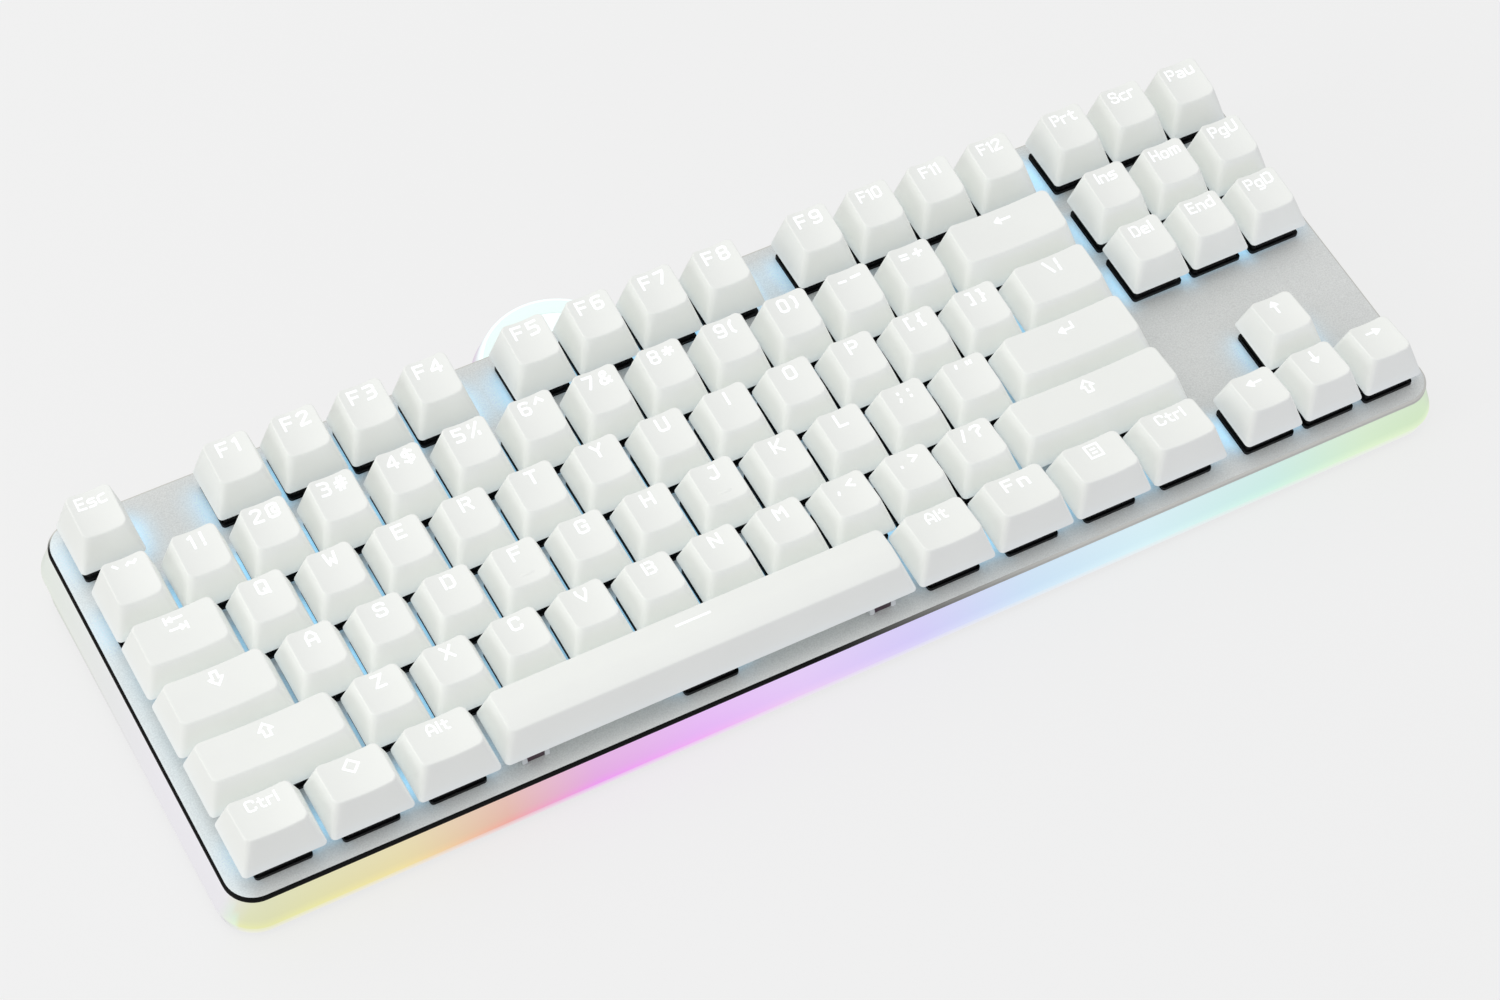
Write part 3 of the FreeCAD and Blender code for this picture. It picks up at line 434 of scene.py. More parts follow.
def cap_shape(row, units):
    """Hollow cap as one tube: from its roof inside down to the skirt, then up to the dished top."""
    form = CapForm(row, units)
    edge = form.outline(1.0, 0.0)
    heights = [form.top(x, y) for x, y in edge]
    lowest = min(heights)
    roof = lowest - CAP_ROOF - 0.3
    inside = [[(x, y, z) for x, y in form.outline(rise, 0.0, shrink)] for rise, shrink, z in
              ((roof / lowest, CAP_WALL + 0.5, roof), (roof / lowest, CAP_WALL, roof - 0.5),
               (0.02, CAP_WALL, 0.25), (0.0, CAP_WALL - 0.3, 0.0))]

    def wall(rise, inset):
        return [(x, y, rise * h) for (x, y), h in zip(form.outline(rise, inset), heights)]

    wall_end = 1 - EDGE_ROUND / lowest
    rings = inside + [wall(*at) for at in ((0.0, 0.35), (0.0, 0.12), (0.015, 0.0), (0.3, 0.0), (0.62, 0.0),
                                           (wall_end - EDGE_SUPPORT / lowest, 0.0))]
    for k in range(EDGE_STEPS + 1):
        s = k / EDGE_STEPS
        rise = 1 - (1 - s) ** 2 * (1 - wall_end)
        inset = s ** 2 * EDGE_ROUND
        rings.append([(x, y, rise * form.top(*over)) for (x, y), over in
                      zip(form.outline(rise, inset), form.outline(1.0, inset))])
    for inset in (EDGE_ROUND + EDGE_SUPPORT, EDGE_ROUND + 0.5):
        rings.append([(x, y, form.top(x, y)) for x, y in form.outline(1.0, inset)])
    if form.convex:
        y_mid = (form.y_front + form.y_back) / 2
        for part in (0.3, 0.6, 0.85):
            ring = [(x, y_mid + (y - y_mid) * (1 - part)) for x, y, _ in rings[-1]]
            rings.append([(x, y, form.top(x, y)) for x, y in ring])
    shape = Shape()
    shape.tube(rings, cap_first=False, cap_last=False)
    last = (len(rings) - 1) * len(edge)
    lid = close_across(edge, form.across)
    shape.add([], [tuple(reversed(face)) for face in lid] + [[last + i for i in face] for face in lid])
    for dx in (0.0, *stabiliser_offsets(units)):
        post(shape, dx, roof)
    return shape, form


CAP_LIGHT, SKIRT_LIGHT = (0.076, 0.080, 0.077), (0.014, 0.03, 0.05)
SKIRT_LIGHT_UP = 4.5          # mm above the skirt to which the light of the plate tints a cap


def cap_light(x, y, z):
    """Faint glow through the thin plastic of a cap, bluer towards its skirt."""
    f = share(1 - (z - SKIRT_Z) / SKIRT_LIGHT_UP)
    return [a + f * f * b for a, b in zip(CAP_LIGHT, SKIRT_LIGHT)]


POST_RADIUS, POST_Z, CROSS_LONG, CROSS_THICK = 2.75, 1.2, 4.1, 1.3


def cross_ring(long, thick, z, dx=0.0, dy=0.0):
    a, b = long / 2, thick / 2
    return [(dx + x, dy + y, z) for x, y in ((b, -a), (b, -b), (a, -b), (a, b), (b, b), (b, a),
                                            (-b, a), (-b, b), (-a, b), (-a, -b), (-b, -b), (-b, -a))]


def post(shape, dx, roof):
    """Round post with a cross socket under the roof of a cap."""
    steps = 24
    begin = math.atan2(-CROSS_LONG / 2, CROSS_THICK / 2)
    outer_low = circle(POST_RADIUS, steps, (dx, 0, POST_Z), begin)
    outer_high = circle(POST_RADIUS, steps, (dx, 0, roof + 0.2), begin)
    cross = cross_ring(CROSS_LONG, CROSS_THICK, POST_Z, dx)
    deep = cross_ring(CROSS_LONG, CROSS_THICK, CROSS_TOP - SKIRT_Z + 0.2, dx)
    low, high, hole, floor = 0, steps, 2 * steps, 2 * steps + 12
    faces = [(low + i, low + (i + 1) % steps, high + (i + 1) % steps, high + i)
             for i in range(steps)]
    faces += [(hole + (i + 1) % 12, hole + i, floor + i, floor + (i + 1) % 12)
              for i in range(12)]
    faces.append([floor + i for i in reversed(range(12))])
    for i in range(12):
        j, k = 2 * i, (2 * i + 2) % steps
        faces += [(low + j, hole + i, hole + (i + 1) % 12, low + k), (low + j, low + k, low + j + 1)]
    faces.append([high + i for i in range(steps)])
    shape.add(outer_low + outer_high + cross + deep, faces)


# ---- legends ----
# each symbol as strokes of x,y points on a grid 4 wide and 6 high, with ; between strokes
GLYPHS = dict(line.split(" ", 1) for line in r"""
A 0,0 0,4 1.3,6 2.7,6 4,4 4,0;0,2.1 4,2.1
B 0,0 0,6;1.5,6 3.2,6 4,5.2 4,3.9 3.2,3.1 1.5,3.1;3.2,3.1 4,2.3 4,.8 3.2,0 1.5,0
C 4,4.6 4,5.2 3.2,6 .8,6 0,5.2 0,.8 .8,0 3.2,0 4,.8 4,1.4
D 0,0 0,6;1.5,6 3,6 4,5 4,1 3,0 1.5,0
E 3.8,6 0,6 0,0 3.8,0;0,3.1 3.2,3.1
F 3.8,6 0,6 0,0;0,3.1 3.2,3.1
G 4,4.8 4,5.2 3.2,6 .8,6 0,5.2 0,.8 .8,0 3.2,0 4,.8 4,2.9 2.2,2.9
H 0,0 0,6;4,6 4,0;0,3 4,3
I 2,6 2,0
J 1.6,6 3.6,6 3.6,.9 2.7,0 1,0 .2,.9
K 0,0 0,6;3.9,6 1,3 3.9,0;0,3 1,3
L 0,6 0,0 3.6,0
M 0,0 0,6 2,3.4 4,6 4,0
N 0,0 0,6 4,0 4,6
O 0,5.2 .8,6 3.2,6 4,5.2 4,.8 3.2,0 .8,0 0,.8 0,5.2
P 0,0 0,6;1.5,6 3.2,6 4,5.2 4,3.6 3.2,2.8 1.5,2.8
Q 0,5.2 .8,6 3.2,6 4,5.2 4,.8 3.2,0 .8,0 0,.8 0,5.2;2.4,1.8 4.2,-.4
R 0,0 0,6;1.5,6 3.2,6 4,5.2 4,3.8 3.2,3 1.5,3;2.5,3 4,0
S 4,4.8 4,5.2 3.2,6 .8,6 0,5.2 0,3.9 .8,3.1 3.2,3.1 4,2.3 4,.8 3.2,0 .8,0 0,.8 0,1.2
T 0,6 4,6;2,6 2,0
U 0,6 0,.8 .8,0 3.2,0 4,.8 4,6
V 0,6 0,4.6 2,0 4,4.6 4,6
W 0,6 .7,0 2,3.6 3.3,0 4,6
X 0,6 4,0;4,6 0,0
Y 0,6 2,3 4,6;2,3 2,0
Z 0,6 4,6 0,0 4,0
0 0,5.2 .8,6 2.7,6 3.5,5.2 3.5,.8 2.7,0 .8,0 0,.8 0,5.2
1 .9,5.2 2,6 2,0
2 0,5.2 .8,6 2.8,6 3.6,5.2 3.6,4.1 0,.6 0,0 3.6,0
3 0,6 2.8,6 3.6,5.2 3.6,3.9 2.8,3.1 1,3.1;2.8,3.1 3.6,2.3 3.6,.8 2.8,0 0,0
4 3,0 3,6 0,2.2 0,1.6 4,1.6
5 3.6,6 0,6 0,3.4 2.8,3.4 3.6,2.6 3.6,.8 2.8,0 0,0
6 3.6,5.6 2.9,6 .8,6 0,5.2 0,.8 .8,0 2.8,0 3.6,.8 3.6,2.5 2.8,3.3 0,3.3
7 0,6 3.6,6 3.6,5.2 1.2,0
8 .8,3.1 0,3.9 0,5.2 .8,6 2.8,6 3.6,5.2 3.6,3.9 2.8,3.1 .8,3.1 0,2.3 0,.8 .8,0 2.8,0 3.6,.8 3.6,2.3 2.8,3.1
9 0,.4 .7,0 2.8,0 3.6,.8 3.6,5.2 2.8,6 .8,6 0,5.2 0,3.5 .8,2.7 3.6,2.7
! 1,6 1,2.2;1,.6 1,0
@ 3.9,.6 3.2,0 .8,0 0,.8 0,5.2 .8,6 3.2,6 4,5.2 4,2 2.4,1.8 1.9,2.5 1.9,3.6 2.5,4.2 4,4.2
# 1,0 1.6,6;2.6,0 3.2,6;0,2 4,2;.2,4.1 4.2,4.1
$ 3.8,5 3.1,5.5 .8,5.5 0,4.8 0,3.8 .8,3 3,3 3.8,2.2 3.8,1.2 3,.5 .7,.5 0,1;1.9,6.6 1.9,-.6
% 0,0 3.8,6;.5,6 .5,4.8;3.3,1.2 3.3,0
^ .2,3.8 1.8,6 3.4,3.8
& 3.9,0 .9,4.2 .9,5.3 1.6,6 2.5,6 3,5.3 3,4.6 0,2.2 0,.8 .8,0 2.2,0 3.9,2.4
* 1.9,5.6 1.9,1.6;.2,4.6 3.6,2.6;.2,2.6 3.6,4.6
( 2.1,6 1.2,5 1.2,1 2.1,0
) 1.2,6 2.1,5 2.1,1 1.2,0
- .3,3 3.3,3
_ .3,3.6 3.9,3.6
= .3,2 3.3,2;.3,4 3.3,4
+ .3,3 3.7,3;2,4.7 2,1.3
[ 2.6,6 1,6 1,0 2.6,0
] .8,6 2.4,6 2.4,0 .8,0
{ 2.8,6 1.9,6 1.9,3.6 1,3 1.9,2.4 1.9,0 2.8,0
} .8,6 1.7,6 1.7,3.6 2.6,3 1.7,2.4 1.7,0 .8,0
\ .4,6 3,0
| 1.8,6 1.8,3.8;1.8,2.2 1.8,0
; 1.8,4.3 1.8,3.8;1.8,.9 1.3,-.4
: 1.8,4.4 1.8,3.9;1.8,1 1.8,.5
' 1.8,6 1.5,4.6
" 1.1,6 1.1,4.7;2.7,6 2.7,4.7
, 1.8,.9 1.3,-.4
. 1.8,.5 1.8,0
< 3.4,5 .8,3.2 3.4,1.4
> .6,5 3.2,3.2 .6,1.4
/ .6,0 2.6,6
? 0,5.2 .8,6 2.8,6 3.6,5.2 3.6,4 1.9,2.9 1.9,2;1.9,.6 1.9,0
` 1,6 2.2,4.8
~ 0,4.6 1,5.5 2.8,4.5 3.8,5.4
a .4,4 2.8,4 3.5,3.3 3.5,0 .8,0 0,.6 0,1.5 .8,2.1 3.5,2.1
c 3.3,4 .8,4 0,3.2 0,.8 .8,0 3.3,0
d 3.5,6 3.5,0 .8,0 0,.8 0,3.2 .8,4 3.5,4
e 0,2.1 3.5,2.1 3.5,3.3 2.8,4 .8,4 0,3.2 0,.8 .8,0 3.3,0
g 3.5,4 .8,4 0,3.2 0,.8 .8,0 3.5,0;3.5,4 3.5,-1.3 2.8,-1.9 .4,-1.9
l 1,6 1,0
m 0,0 0,4 3.8,4 4.6,3.2 4.6,0;2.3,4 2.3,0
n 0,0 0,4 2.7,4 3.5,3.2 3.5,0
o 0,3.2 .8,4 2.7,4 3.5,3.2 3.5,.8 2.7,0 .8,0 0,.8 0,3.2
r 0,0 0,4 2.6,4
s 3.4,4 .7,4 0,3.4 0,2.7 .7,2.1 2.7,2.1 3.4,1.5 3.4,.6 2.7,0 0,0
t 1.1,5.6 1.1,.7 1.8,0 2.8,0;0,4 2.8,4
u 0,4 0,.8 .8,0 3.5,0;3.5,4 3.5,0
<backspace> 0,3 5.6,3;1.6,4.4 0,3 1.6,1.6 1.6,4.4
<enter> 0,2.4 5.2,2.4 5.2,5;1.6,3.9 0,2.4 1.6,.9 1.6,3.9
<tab> 0,6.4 0,3.8;0.8,5.1 5.6,5.1;2,6 .8,5.1 2,4.2;6,2.2 6,-.4;.4,.9 5.2,.9;4,1.8 5.2,.9 4,0
<caps> 1.4,6 1.4,3.2 0,3.2 2.4,.2 4.8,3.2 3.4,3.2 3.4,6 1.4,6
<shift> 1.4,0 1.4,2.8 0,2.8 2.4,5.8 4.8,2.8 3.4,2.8 3.4,0 1.4,0
<menu> 0,0 0,6 4.6,6 4.6,0 0,0;1.6,3.9 3,3.9;1.6,2.1 3,2.1
<diamond> 2.6,6 0,3 2.6,0 5.2,3 2.6,6
<bar> -4,3 8,3
<up> 2,0 2,5.4;.6,3.8 2,5.6 3.4,3.8 .6,3.8
<down> 2,6 2,.6;.6,2.2 2,.4 3.4,2.2 .6,2.2
<left> 5,3 .6,3;1.9,4.4 0,3 1.9,1.6 1.9,4.4
<right> 0,3 4.4,3;3.1,4.4 5,3 3.1,1.6 3.1,4.4
""".strip().split("\n"))
# mm to one step of the grid across and along, width of a stroke in mm, gap in grid steps
WORD_SIZE = (0.53, 0.52, 0.52, 1.85)
LETTER_SIZE = (0.66, 0.60, 0.66, 3.0)
SYMBOL_SIZE = (0.80, 0.70, 0.58, 1.75)
PAIR_CELL = 2.2               # least width of the first of two symbols, in grid steps
LEGEND_PROUD = 0.02
LEGEND_SUNK = 0.2
LEGEND_BACK = 1.55            # from the top's back edge to the top of the letters
LEGEND_PIECE = 0.9            # longest straight piece of a stroke


def strokes_of(legend):
    """Centred polylines of a legend in mm with y = 0 on its top line, and the width of its strokes."""
    symbols = [legend] if legend.startswith("<") and len(legend) > 2 else list(legend)
    size = SYMBOL_SIZE if len(symbols) < len(legend) else LETTER_SIZE if len(legend) < 3 else WORD_SIZE
    across, along, stroke, gap = size
    cell = PAIR_CELL if len(symbols) == 2 and size == LETTER_SIZE else 0.0
    lines, cursor, end = [], 0.0, 0.0
    for symbol in symbols:
        points = [[tuple(float(c) for c in p.split(",")) for p in line.split()]
                  for line in GLYPHS[symbol].split(";")]
        right = max(x for line in points for x, _ in line)
        left = min(x for line in points for x, _ in line)
        lines += [[(x - left + cursor, y - 6) for x, y in line] for line in points]
        end = cursor + right - left
        cursor += max(right - left, cell) + gap
    middle = end / 2
    return [[((x - middle) * across, y * along) for x, y in line] for line in lines], stroke


def legend_shape(legend, form):
    shape = Shape()
    y_top = form.y_back - LEGEND_BACK
    lines, stroke = strokes_of(legend)
    for line in lines:
        closed = len(line) > 2 and math.dist(line[0], line[-1]) < 1e-6
        points = line[:-1] if closed else line
        fine = []
        count = len(points) if closed else len(points) - 1
        for k in range(count):
            a, b = points[k], points[(k + 1) % len(points)]
            pieces = max(1, math.ceil(math.dist(a, b) / LEGEND_PIECE))
            fine += [(lerp(a[0], b[0], i / pieces), lerp(a[1], b[1], i / pieces))
                     for i in range(pieces)]
        if not closed:
            fine.append(points[-1])
            fine[0] = stretched(fine[1], fine[0], stroke)
            fine[-1] = stretched(fine[-2], fine[-1], stroke)
        ribbon(shape, fine, closed, stroke, y_top, form)
    return shape


def stretched(inner, end, stroke):
    """A stroke's end moved on by half its width."""
    length = math.dist(inner, end)
    k = 1 + 0.42 * stroke / length
    return (inner[0] + (end[0] - inner[0]) * k, inner[1] + (end[1] - inner[1]) * k)


def ribbon(shape, line, closed, stroke, y_top, form):
    n = len(line)
    rings = []
    for k in range(n):
        before = line[k - 1] if closed or k else None
        after = line[(k + 1) % n] if closed or k < n - 1 else None
        sides = []
        for a, b in ((before, line[k]), (line[k], after)):
            if a and b:
                length = math.dist(a, b)
                sides.append((-(b[1] - a[1]) / length, (b[0] - a[0]) / length))
        nx, ny = (sum(c) / len(sides) for c in zip(*sides))
        size = max(nx * nx + ny * ny, 0.35)
        nx, ny = nx / size * stroke / 2, ny / size * stroke / 2
        x, y = line[k][0], line[k][1] + y_top
        left, right = (x + nx, y + ny), (x - nx, y - ny)
        rings.append([(*left, form.top(*left) + LEGEND_PROUD), (*left, form.top(*left) - LEGEND_SUNK),
                      (*right, form.top(*right) - LEGEND_SUNK),
                      (*right, form.top(*right) + LEGEND_PROUD)])
    verts = [p for ring in rings for p in ring]
    faces = []
    for k in range(n if closed else n - 1):
        a, b = 4 * k, 4 * ((k + 1) % n)
        faces += [(a + i, b + i, b + (i + 1) % 4, a + (i + 1) % 4) for i in range(4)]
    if not closed:
        faces += [(0, 1, 2, 3), tuple(reversed(range(4 * n - 4, 4 * n)))]
    shape.add(verts, faces, 1)


HOMING = ("f", "j")           # keys with a small bar near the front of the top


def homing_bar(form):
    bar = Shape()
    z = form.top(0, form.y_front + 3.2) - 0.1
    bar.tube([rounded_rect(w, d, d / 2.1, 3, (0, form.y_front + 3.0, z + dz))
              for w, d, dz in ((4.2, 0.8, 0.0), (4.1, 0.7, 0.18), (3.7, 0.35, 0.26))])
    return bar


# ---- sliders and housings ----
STAB_SLIDER_X, STAB_SLIDER_Y, STAB_SLIDER_BOTTOM = 4.4, 4.8, -2.6


def slider_shape(x, y, dx_list):
    """Slider with a bore round the spring and a pin inside it, and the stabilisers' plain sliders."""
    shape = Shape()
    bore, block = (SPRING_BORE, SPRING_BORE, 2.39), (SLIDER_X, SLIDER_Y, 0.3)
    shape.tube([rounded_rect(*size, 3, (x, y, z)) for size, z in
                ((bore, SPRING_BORE_TOP), (bore, SLIDER_BOTTOM), (block, SLIDER_BOTTOM),
                  (block, SLIDER_TOP))])
    shape.tube([circle(0.8, 16, (x, y, -3.0)), circle(0.8, 16, (x, y, 2.8))])
    for px in (0.0, *dx_list):
        shape.tube([cross_ring(4.0, 1.2, z, x + px, y) for z in (6.0, CROSS_TOP - 0.1)]
                   + [cross_ring(3.8, 1.0, CROSS_TOP, x + px, y)])
        if px:
            shape.box(STAB_SLIDER_X, STAB_SLIDER_Y, SLIDER_TOP - STAB_SLIDER_BOTTOM,
                      (x + px, y, STAB_SLIDER_BOTTOM))
    return shape


# a switch's upper part from the plate up: width, depth, corner radius and height of each ring
HOUSING_RINGS = ((15.3, 15.3, 0.85, 0.0), (FLANGE, FLANGE, 1.0, 0.18), (FLANGE, FLANGE, 1.0, 0.8),
                 (15.3, 15.3, 0.9, FLANGE_TOP), (14.1, 14.1, 0.8, FLANGE_TOP), (14.0, 14.0, 0.8, 1.15),
                 (10.0, 8.2, 0.8, 6.3), (9.6, 7.8, 0.7, SLIDER_TOP), (7.4, 6.2, 0.3, SLIDER_TOP),
                 (7.4, 6.2, 0.3, 1.2))


def housing_shape(x, y):
    """Upper part of a switch: flange, sloping walls, the slider's well and four clips."""
    shape = Shape()
    shape.tube([rounded_rect(w, d, r, 3, (x, y, z)) for w, d, r, z in HOUSING_RINGS])
    for sx in (-1, 1):
        for sy in (-1, 1):
            shape.box(2.2, 0.5, 1.1, (x + sx * 4.6, y + sy * 6.9, 0.9), bevel=0.1)
    return shape


# inner face, and outline as (y, z), of the front and back parts of a stabiliser's side wall
STAB_CHEEKS = ((2.42, ((-3.2, 0.3), (-7.5, 0.2), (-7.5, 0.9), (-6.1, 4.0), (-5.0, 4.3), (-4.7, 4.6),
                       (-3.2, 4.6))),
               (2.95, ((4.9, 0.5), (-3.25, 0.3), (-3.25, 4.6), (4.6, 4.6), (4.9, 4.3))))
CHEEK_OUTER, CHEEK_MIDDLE_Z = 3.8, 2.4


def stabiliser_shape(x, y):
    """Housing of a stabiliser: flange, side walls, back wall, a bridge over its front and a dark block in its
    front opening, painted shade tinted dark red-violet.
    """
    shape = Shape()
    shape.tube([rounded_rect(w, d, 0.8, 3, (x, y, z)) for w, d, z in
                ((7.4, 13.8, 0.0), (7.6, 14.0, 0.15), (7.6, 14.0, 0.85), (7.4, 13.8, FLANGE_TOP))])
    for side, (face, cheek) in ((side, part) for side in (-1, 1) for part in STAB_CHEEKS):
        inner, outer = sorted((side * face, side * CHEEK_OUTER))
        middle = (cheek[0][0] + cheek[1][0]) / 2
        shape.tube([[(x + px, y + lerp(middle, py, grow), lerp(CHEEK_MIDDLE_Z, pz, grow))
                     for py, pz in cheek] for px, grow in
                    ((outer, 0.97), (outer - 0.12, 1.0), (inner + 0.12, 1.0), (inner, 0.97))])
    shape.box(4.9, 1.8, 3.6, (x, y + 4.0, 0.95))
    shape.box(4.9, 1.6, 1.1, (x, y - 4.1, 3.5), bevel=0.1)
    # dark block filling the front opening between the side walls: painted shade of the opening, tinted dark
    # red-violet
    shape.box(4.84, 3.0, 3.0, (x, y - 5.75, 0.2), 1, bevel=0.1)
    return shape


attribute_colour(CAP, None, "Glow")
BUILT = {}
for body, keys in KEYS.items():
    sliders = Shape()
    for piece, row, start, units, legend in keys:
        if (row, units) not in BUILT:
            BUILT[(row, units)] = cap_shape(row, units)
        base_shape, form = BUILT[(row, units)]
        x, y = key_centre(row, start, units)
        cap = Shape()
        cap.merge(base_shape, (x, y, SKIRT_Z))
        cap.merge(legend_shape(legend, form), (x, y, SKIRT_Z))
        if piece in HOMING:
            cap.merge(homing_bar(form), (x, y, SKIRT_Z))
        paint(make("keycap_" + piece, cap, (CAP, LEGEND), body, (body,)), "Glow", cap_light)
        sliders.merge(slider_shape(x, y, stabiliser_offsets(units)))
    make("slider_" + body, sliders, (STEM,), body, (body,))

upper, windows = Shape(), Shape()
for x, y in CENTRES:
    upper.merge(housing_shape(x, y))
    windows.box(3.0, 1.6, 1.2, (x, y + 5.4, 1.2), bevel=0.2)
make("switch_housings", upper, (BLACK,), "case", ("switch_upper_housings",))
make("lamp_windows", windows, (LAMP,), "case", ())
stabs = Shape()
for x, y in STAB_PLACES:
    stabs.merge(stabiliser_shape(x, y))
make("stabilisers", stabs, (MILKY, OPENING_SHADE), "case", ("stabiliser_housings",))


# ---- outlines of plate and case ----
OUTLINE_STEP = 5.0            # longest piece of a straight side
OUTLINE_ARC = 12              # pieces in each corner


def side_points(start, end):
    pieces = max(1, math.ceil(math.dist(start, end) / OUTLINE_STEP))
    return [(lerp(start[0], end[0], k / pieces), lerp(start[1], end[1], k / pieces))
            for k in range(pieces)]


def case_outline(grow, with_bump=True):
    """Same number of points for every grow, counter-clockwise from the front left."""
    right, front, back = PLATE_HALF + grow, PLATE_FRONT - grow, PLATE_BACK + grow
    r = max(PLATE_RADIUS + grow, 0.5)
    base, (low, high) = PLATE_HALF - PLATE_RADIUS, (PLATE_FRONT + PLATE_RADIUS, PLATE_BACK - PLATE_RADIUS)
    centre_y = PLATE_BACK + BUMP_FILLET
    reach = math.sqrt((BUMP_RADIUS + BUMP_FILLET) ** 2 - (centre_y - BUMP_Y) ** 2)

    def side(x, start, end):
        return [(x, lerp(front + r, back - r, (y - low) / (high - low)))
                for _, y in side_points((0, start), (0, end))]

    def round_points(x, y, radius, start, end, ks, steps):
        turns = (lerp(start, end, k / steps) for k in ks)
        return [(x + radius * math.cos(a), y + radius * math.sin(a)) for a in turns]

    points = [(x * (right - r) / base, front) for x, _ in side_points((-base, 0), (base, 0))]
    points += arc(right - r, front + r, r, -90, OUTLINE_ARC)
    points += side(right, low, high)
    points += arc(right - r, back - r, r, 0, OUTLINE_ARC)
    points += [(x, back) for x, _ in side_points((right - r, 0), (BUMP_X + reach, 0))]
    start, end = -math.pi / 2, math.atan2(BUMP_Y - centre_y, -reach)
    first = math.atan2(centre_y - BUMP_Y, reach)
    small, few, many = BUMP_FILLET - grow, 6, 30
    bump = round_points(BUMP_X + reach, centre_y, small, start, end, range(few), few)
    bump += round_points(BUMP_X, BUMP_Y, BUMP_RADIUS + grow, first, math.pi - first, range(many + 1), many)
    bump += round_points(BUMP_X - reach, centre_y, small, math.pi - end, math.pi - start, range(1, few), few)
    if not with_bump:
        bump = [(BUMP_X + reach - 2 * reach * k / len(bump), back) for k in range(len(bump))]
    points += bump
    points += [(x, back) for x, _ in side_points((BUMP_X - reach, 0), (-right + r, 0))]
    points += arc(-right + r, back - r, r, 90, OUTLINE_ARC)
    points += side(-right, high, low)
    points += arc(-right + r, front + r, r, 180, OUTLINE_ARC)
    return points


def plate_outline(inset):
    """Rounded rectangle of the plate, moved in by inset."""
    r, y_mid = PLATE_RADIUS - inset, (PLATE_BACK + PLATE_FRONT) / 2
    a, b = PLATE_HALF - inset - r, (PLATE_BACK - PLATE_FRONT) / 2 - inset - r
    points = []
    for cx, cy, begin in ((a, -b, -90), (a, b, 0), (-a, b, 90), (-a, -b, 180)):
        corner = arc(cx, cy + y_mid, r, begin, OUTLINE_ARC, 1)
        if points:
            points += side_points(points.pop(), corner[0])
        points += corner
    return points[:-1] + side_points(points[-1], points[0])


# ---- plate ----
def rect_loop(x, y, w, d):
    return [(x - w / 2, y - d / 2), (x + w / 2, y - d / 2), (x + w / 2, y + d / 2), (x - w / 2, y + d / 2)]


def filled(outline, holes, grid):
    """Triangles between an outline and its holes; grid adds points inside for shading."""
    points, edges = [], []
    for loop in (outline, *holes):
        base, n = len(points), len(loop)
        points += loop
        edges += [(base + i, base + (i + 1) % n) for i in range(n)]
    verts, _, faces, _, _, _ = delaunay_2d_cdt([Vector(p) for p in points + grid], edges, [], 0, 1e-5)
    kept = []
    for face in faces:
        a, b, c = (verts[i] for i in face[:3])
        middle = sum((verts[i] for i in face), Vector((0, 0))) / len(face)
        if inside_loop(*middle, outline) and not any(inside_loop(*middle, loop) for loop in holes):
            kept.append(tuple(face) if (b - a).cross(c - a) > 0 else tuple(reversed(face)))
    return [tuple(v) for v in verts], kept


def inside_loop(x, y, loop):
    xs = [p[0] for p in loop]
    ys = [p[1] for p in loop]
    if not (min(xs) < x < max(xs) and min(ys) < y < max(ys)):
        return False
    if len(loop) == 4:
        return True
    result = False
    for (x0, y0), (x1, y1) in zip(loop, loop[1:] + loop[:1]):
        if (y0 > y) != (y1 > y) and x < (x1 - x0) * (y - y0) / (y1 - y0) + x0:
            result = not result
    return result


SWITCH_HOLE, STAB_HOLE = (14.0, 14.0), (6.7, 12.5)
PLATE_GRID, GRID_MARGIN = 2.4, 1.5


def plate_shape():
    """Plate with square holes; material 1 is its wide polished bevel and edge."""
    shape = Shape()
    holes = [rect_loop(x, y, *SWITCH_HOLE) for x, y in CENTRES]
    holes += [rect_loop(x, y, *STAB_HOLE) for x, y in STAB_PLACES]
    depth = PLATE_BACK - PLATE_FRONT
    nx, ny = int(2 * PLATE_HALF / PLATE_GRID), int(depth / PLATE_GRID)
    clear_of_edge = plate_outline(GRID_MARGIN)
    grid = []
    for i in range(1, nx):
        for j in range(1, ny):
            x, y = -PLATE_HALF + i * 2 * PLATE_HALF / nx, PLATE_FRONT + j * depth / ny
            if inside_loop(x, y, clear_of_edge) and not any(inside_loop(x, y, loop) for loop in holes):
                grid.append((x, y))
    flat, faces = filled(plate_outline(PLATE_BEVEL), holes, grid)
    shape.add([(x, y, 0.0) for x, y in flat], faces)
    shape.add([(x, y, -PLATE_THICKNESS) for x, y in flat], [tuple(reversed(f)) for f in faces])
    for mat, levels in ((0, ((PLATE_BEVEL, -PLATE_THICKNESS), (-PLATE_OVER, -PLATE_THICKNESS))),
                        (1, ((-PLATE_OVER, -PLATE_THICKNESS), (-PLATE_OVER, -0.5), (-PLATE_OVER + 0.05, -0.4),
                             (PLATE_BEVEL - 0.06, -0.04), (PLATE_BEVEL, 0.0)))):
        shape.tube([[(x, y, z) for x, y in plate_outline(inset)] for inset, z in levels], mat, False, False)
    for loop in holes:
        shape.tube([[(x, y, z) for x, y in reversed(loop)] for z in (-PLATE_THICKNESS, 0.0)], 0, False, False)
    return shape


# x in mm over which the painted reflection on the polished edge turns from black to light
EDGE_DARK_TO, EDGE_LIGHT_FROM = -15.0, 70.0
GLOW_REACH, GLOW_ALONG = 4.4, 7.4   # mm over which the light beside a switch fades on the plate
GLOW_END = 24.0
GLOW_COLOUR = (0.18, 0.53, 0.80)
MARGIN_GLOW, FRONT_GLOW_FADE = 0.45, 8.0      # weaker in the side margins and at the front edge
PLATE_SHEEN = 0.035
LEFT_MARGIN_LIGHT = (0.11, 0.15, 0.17)


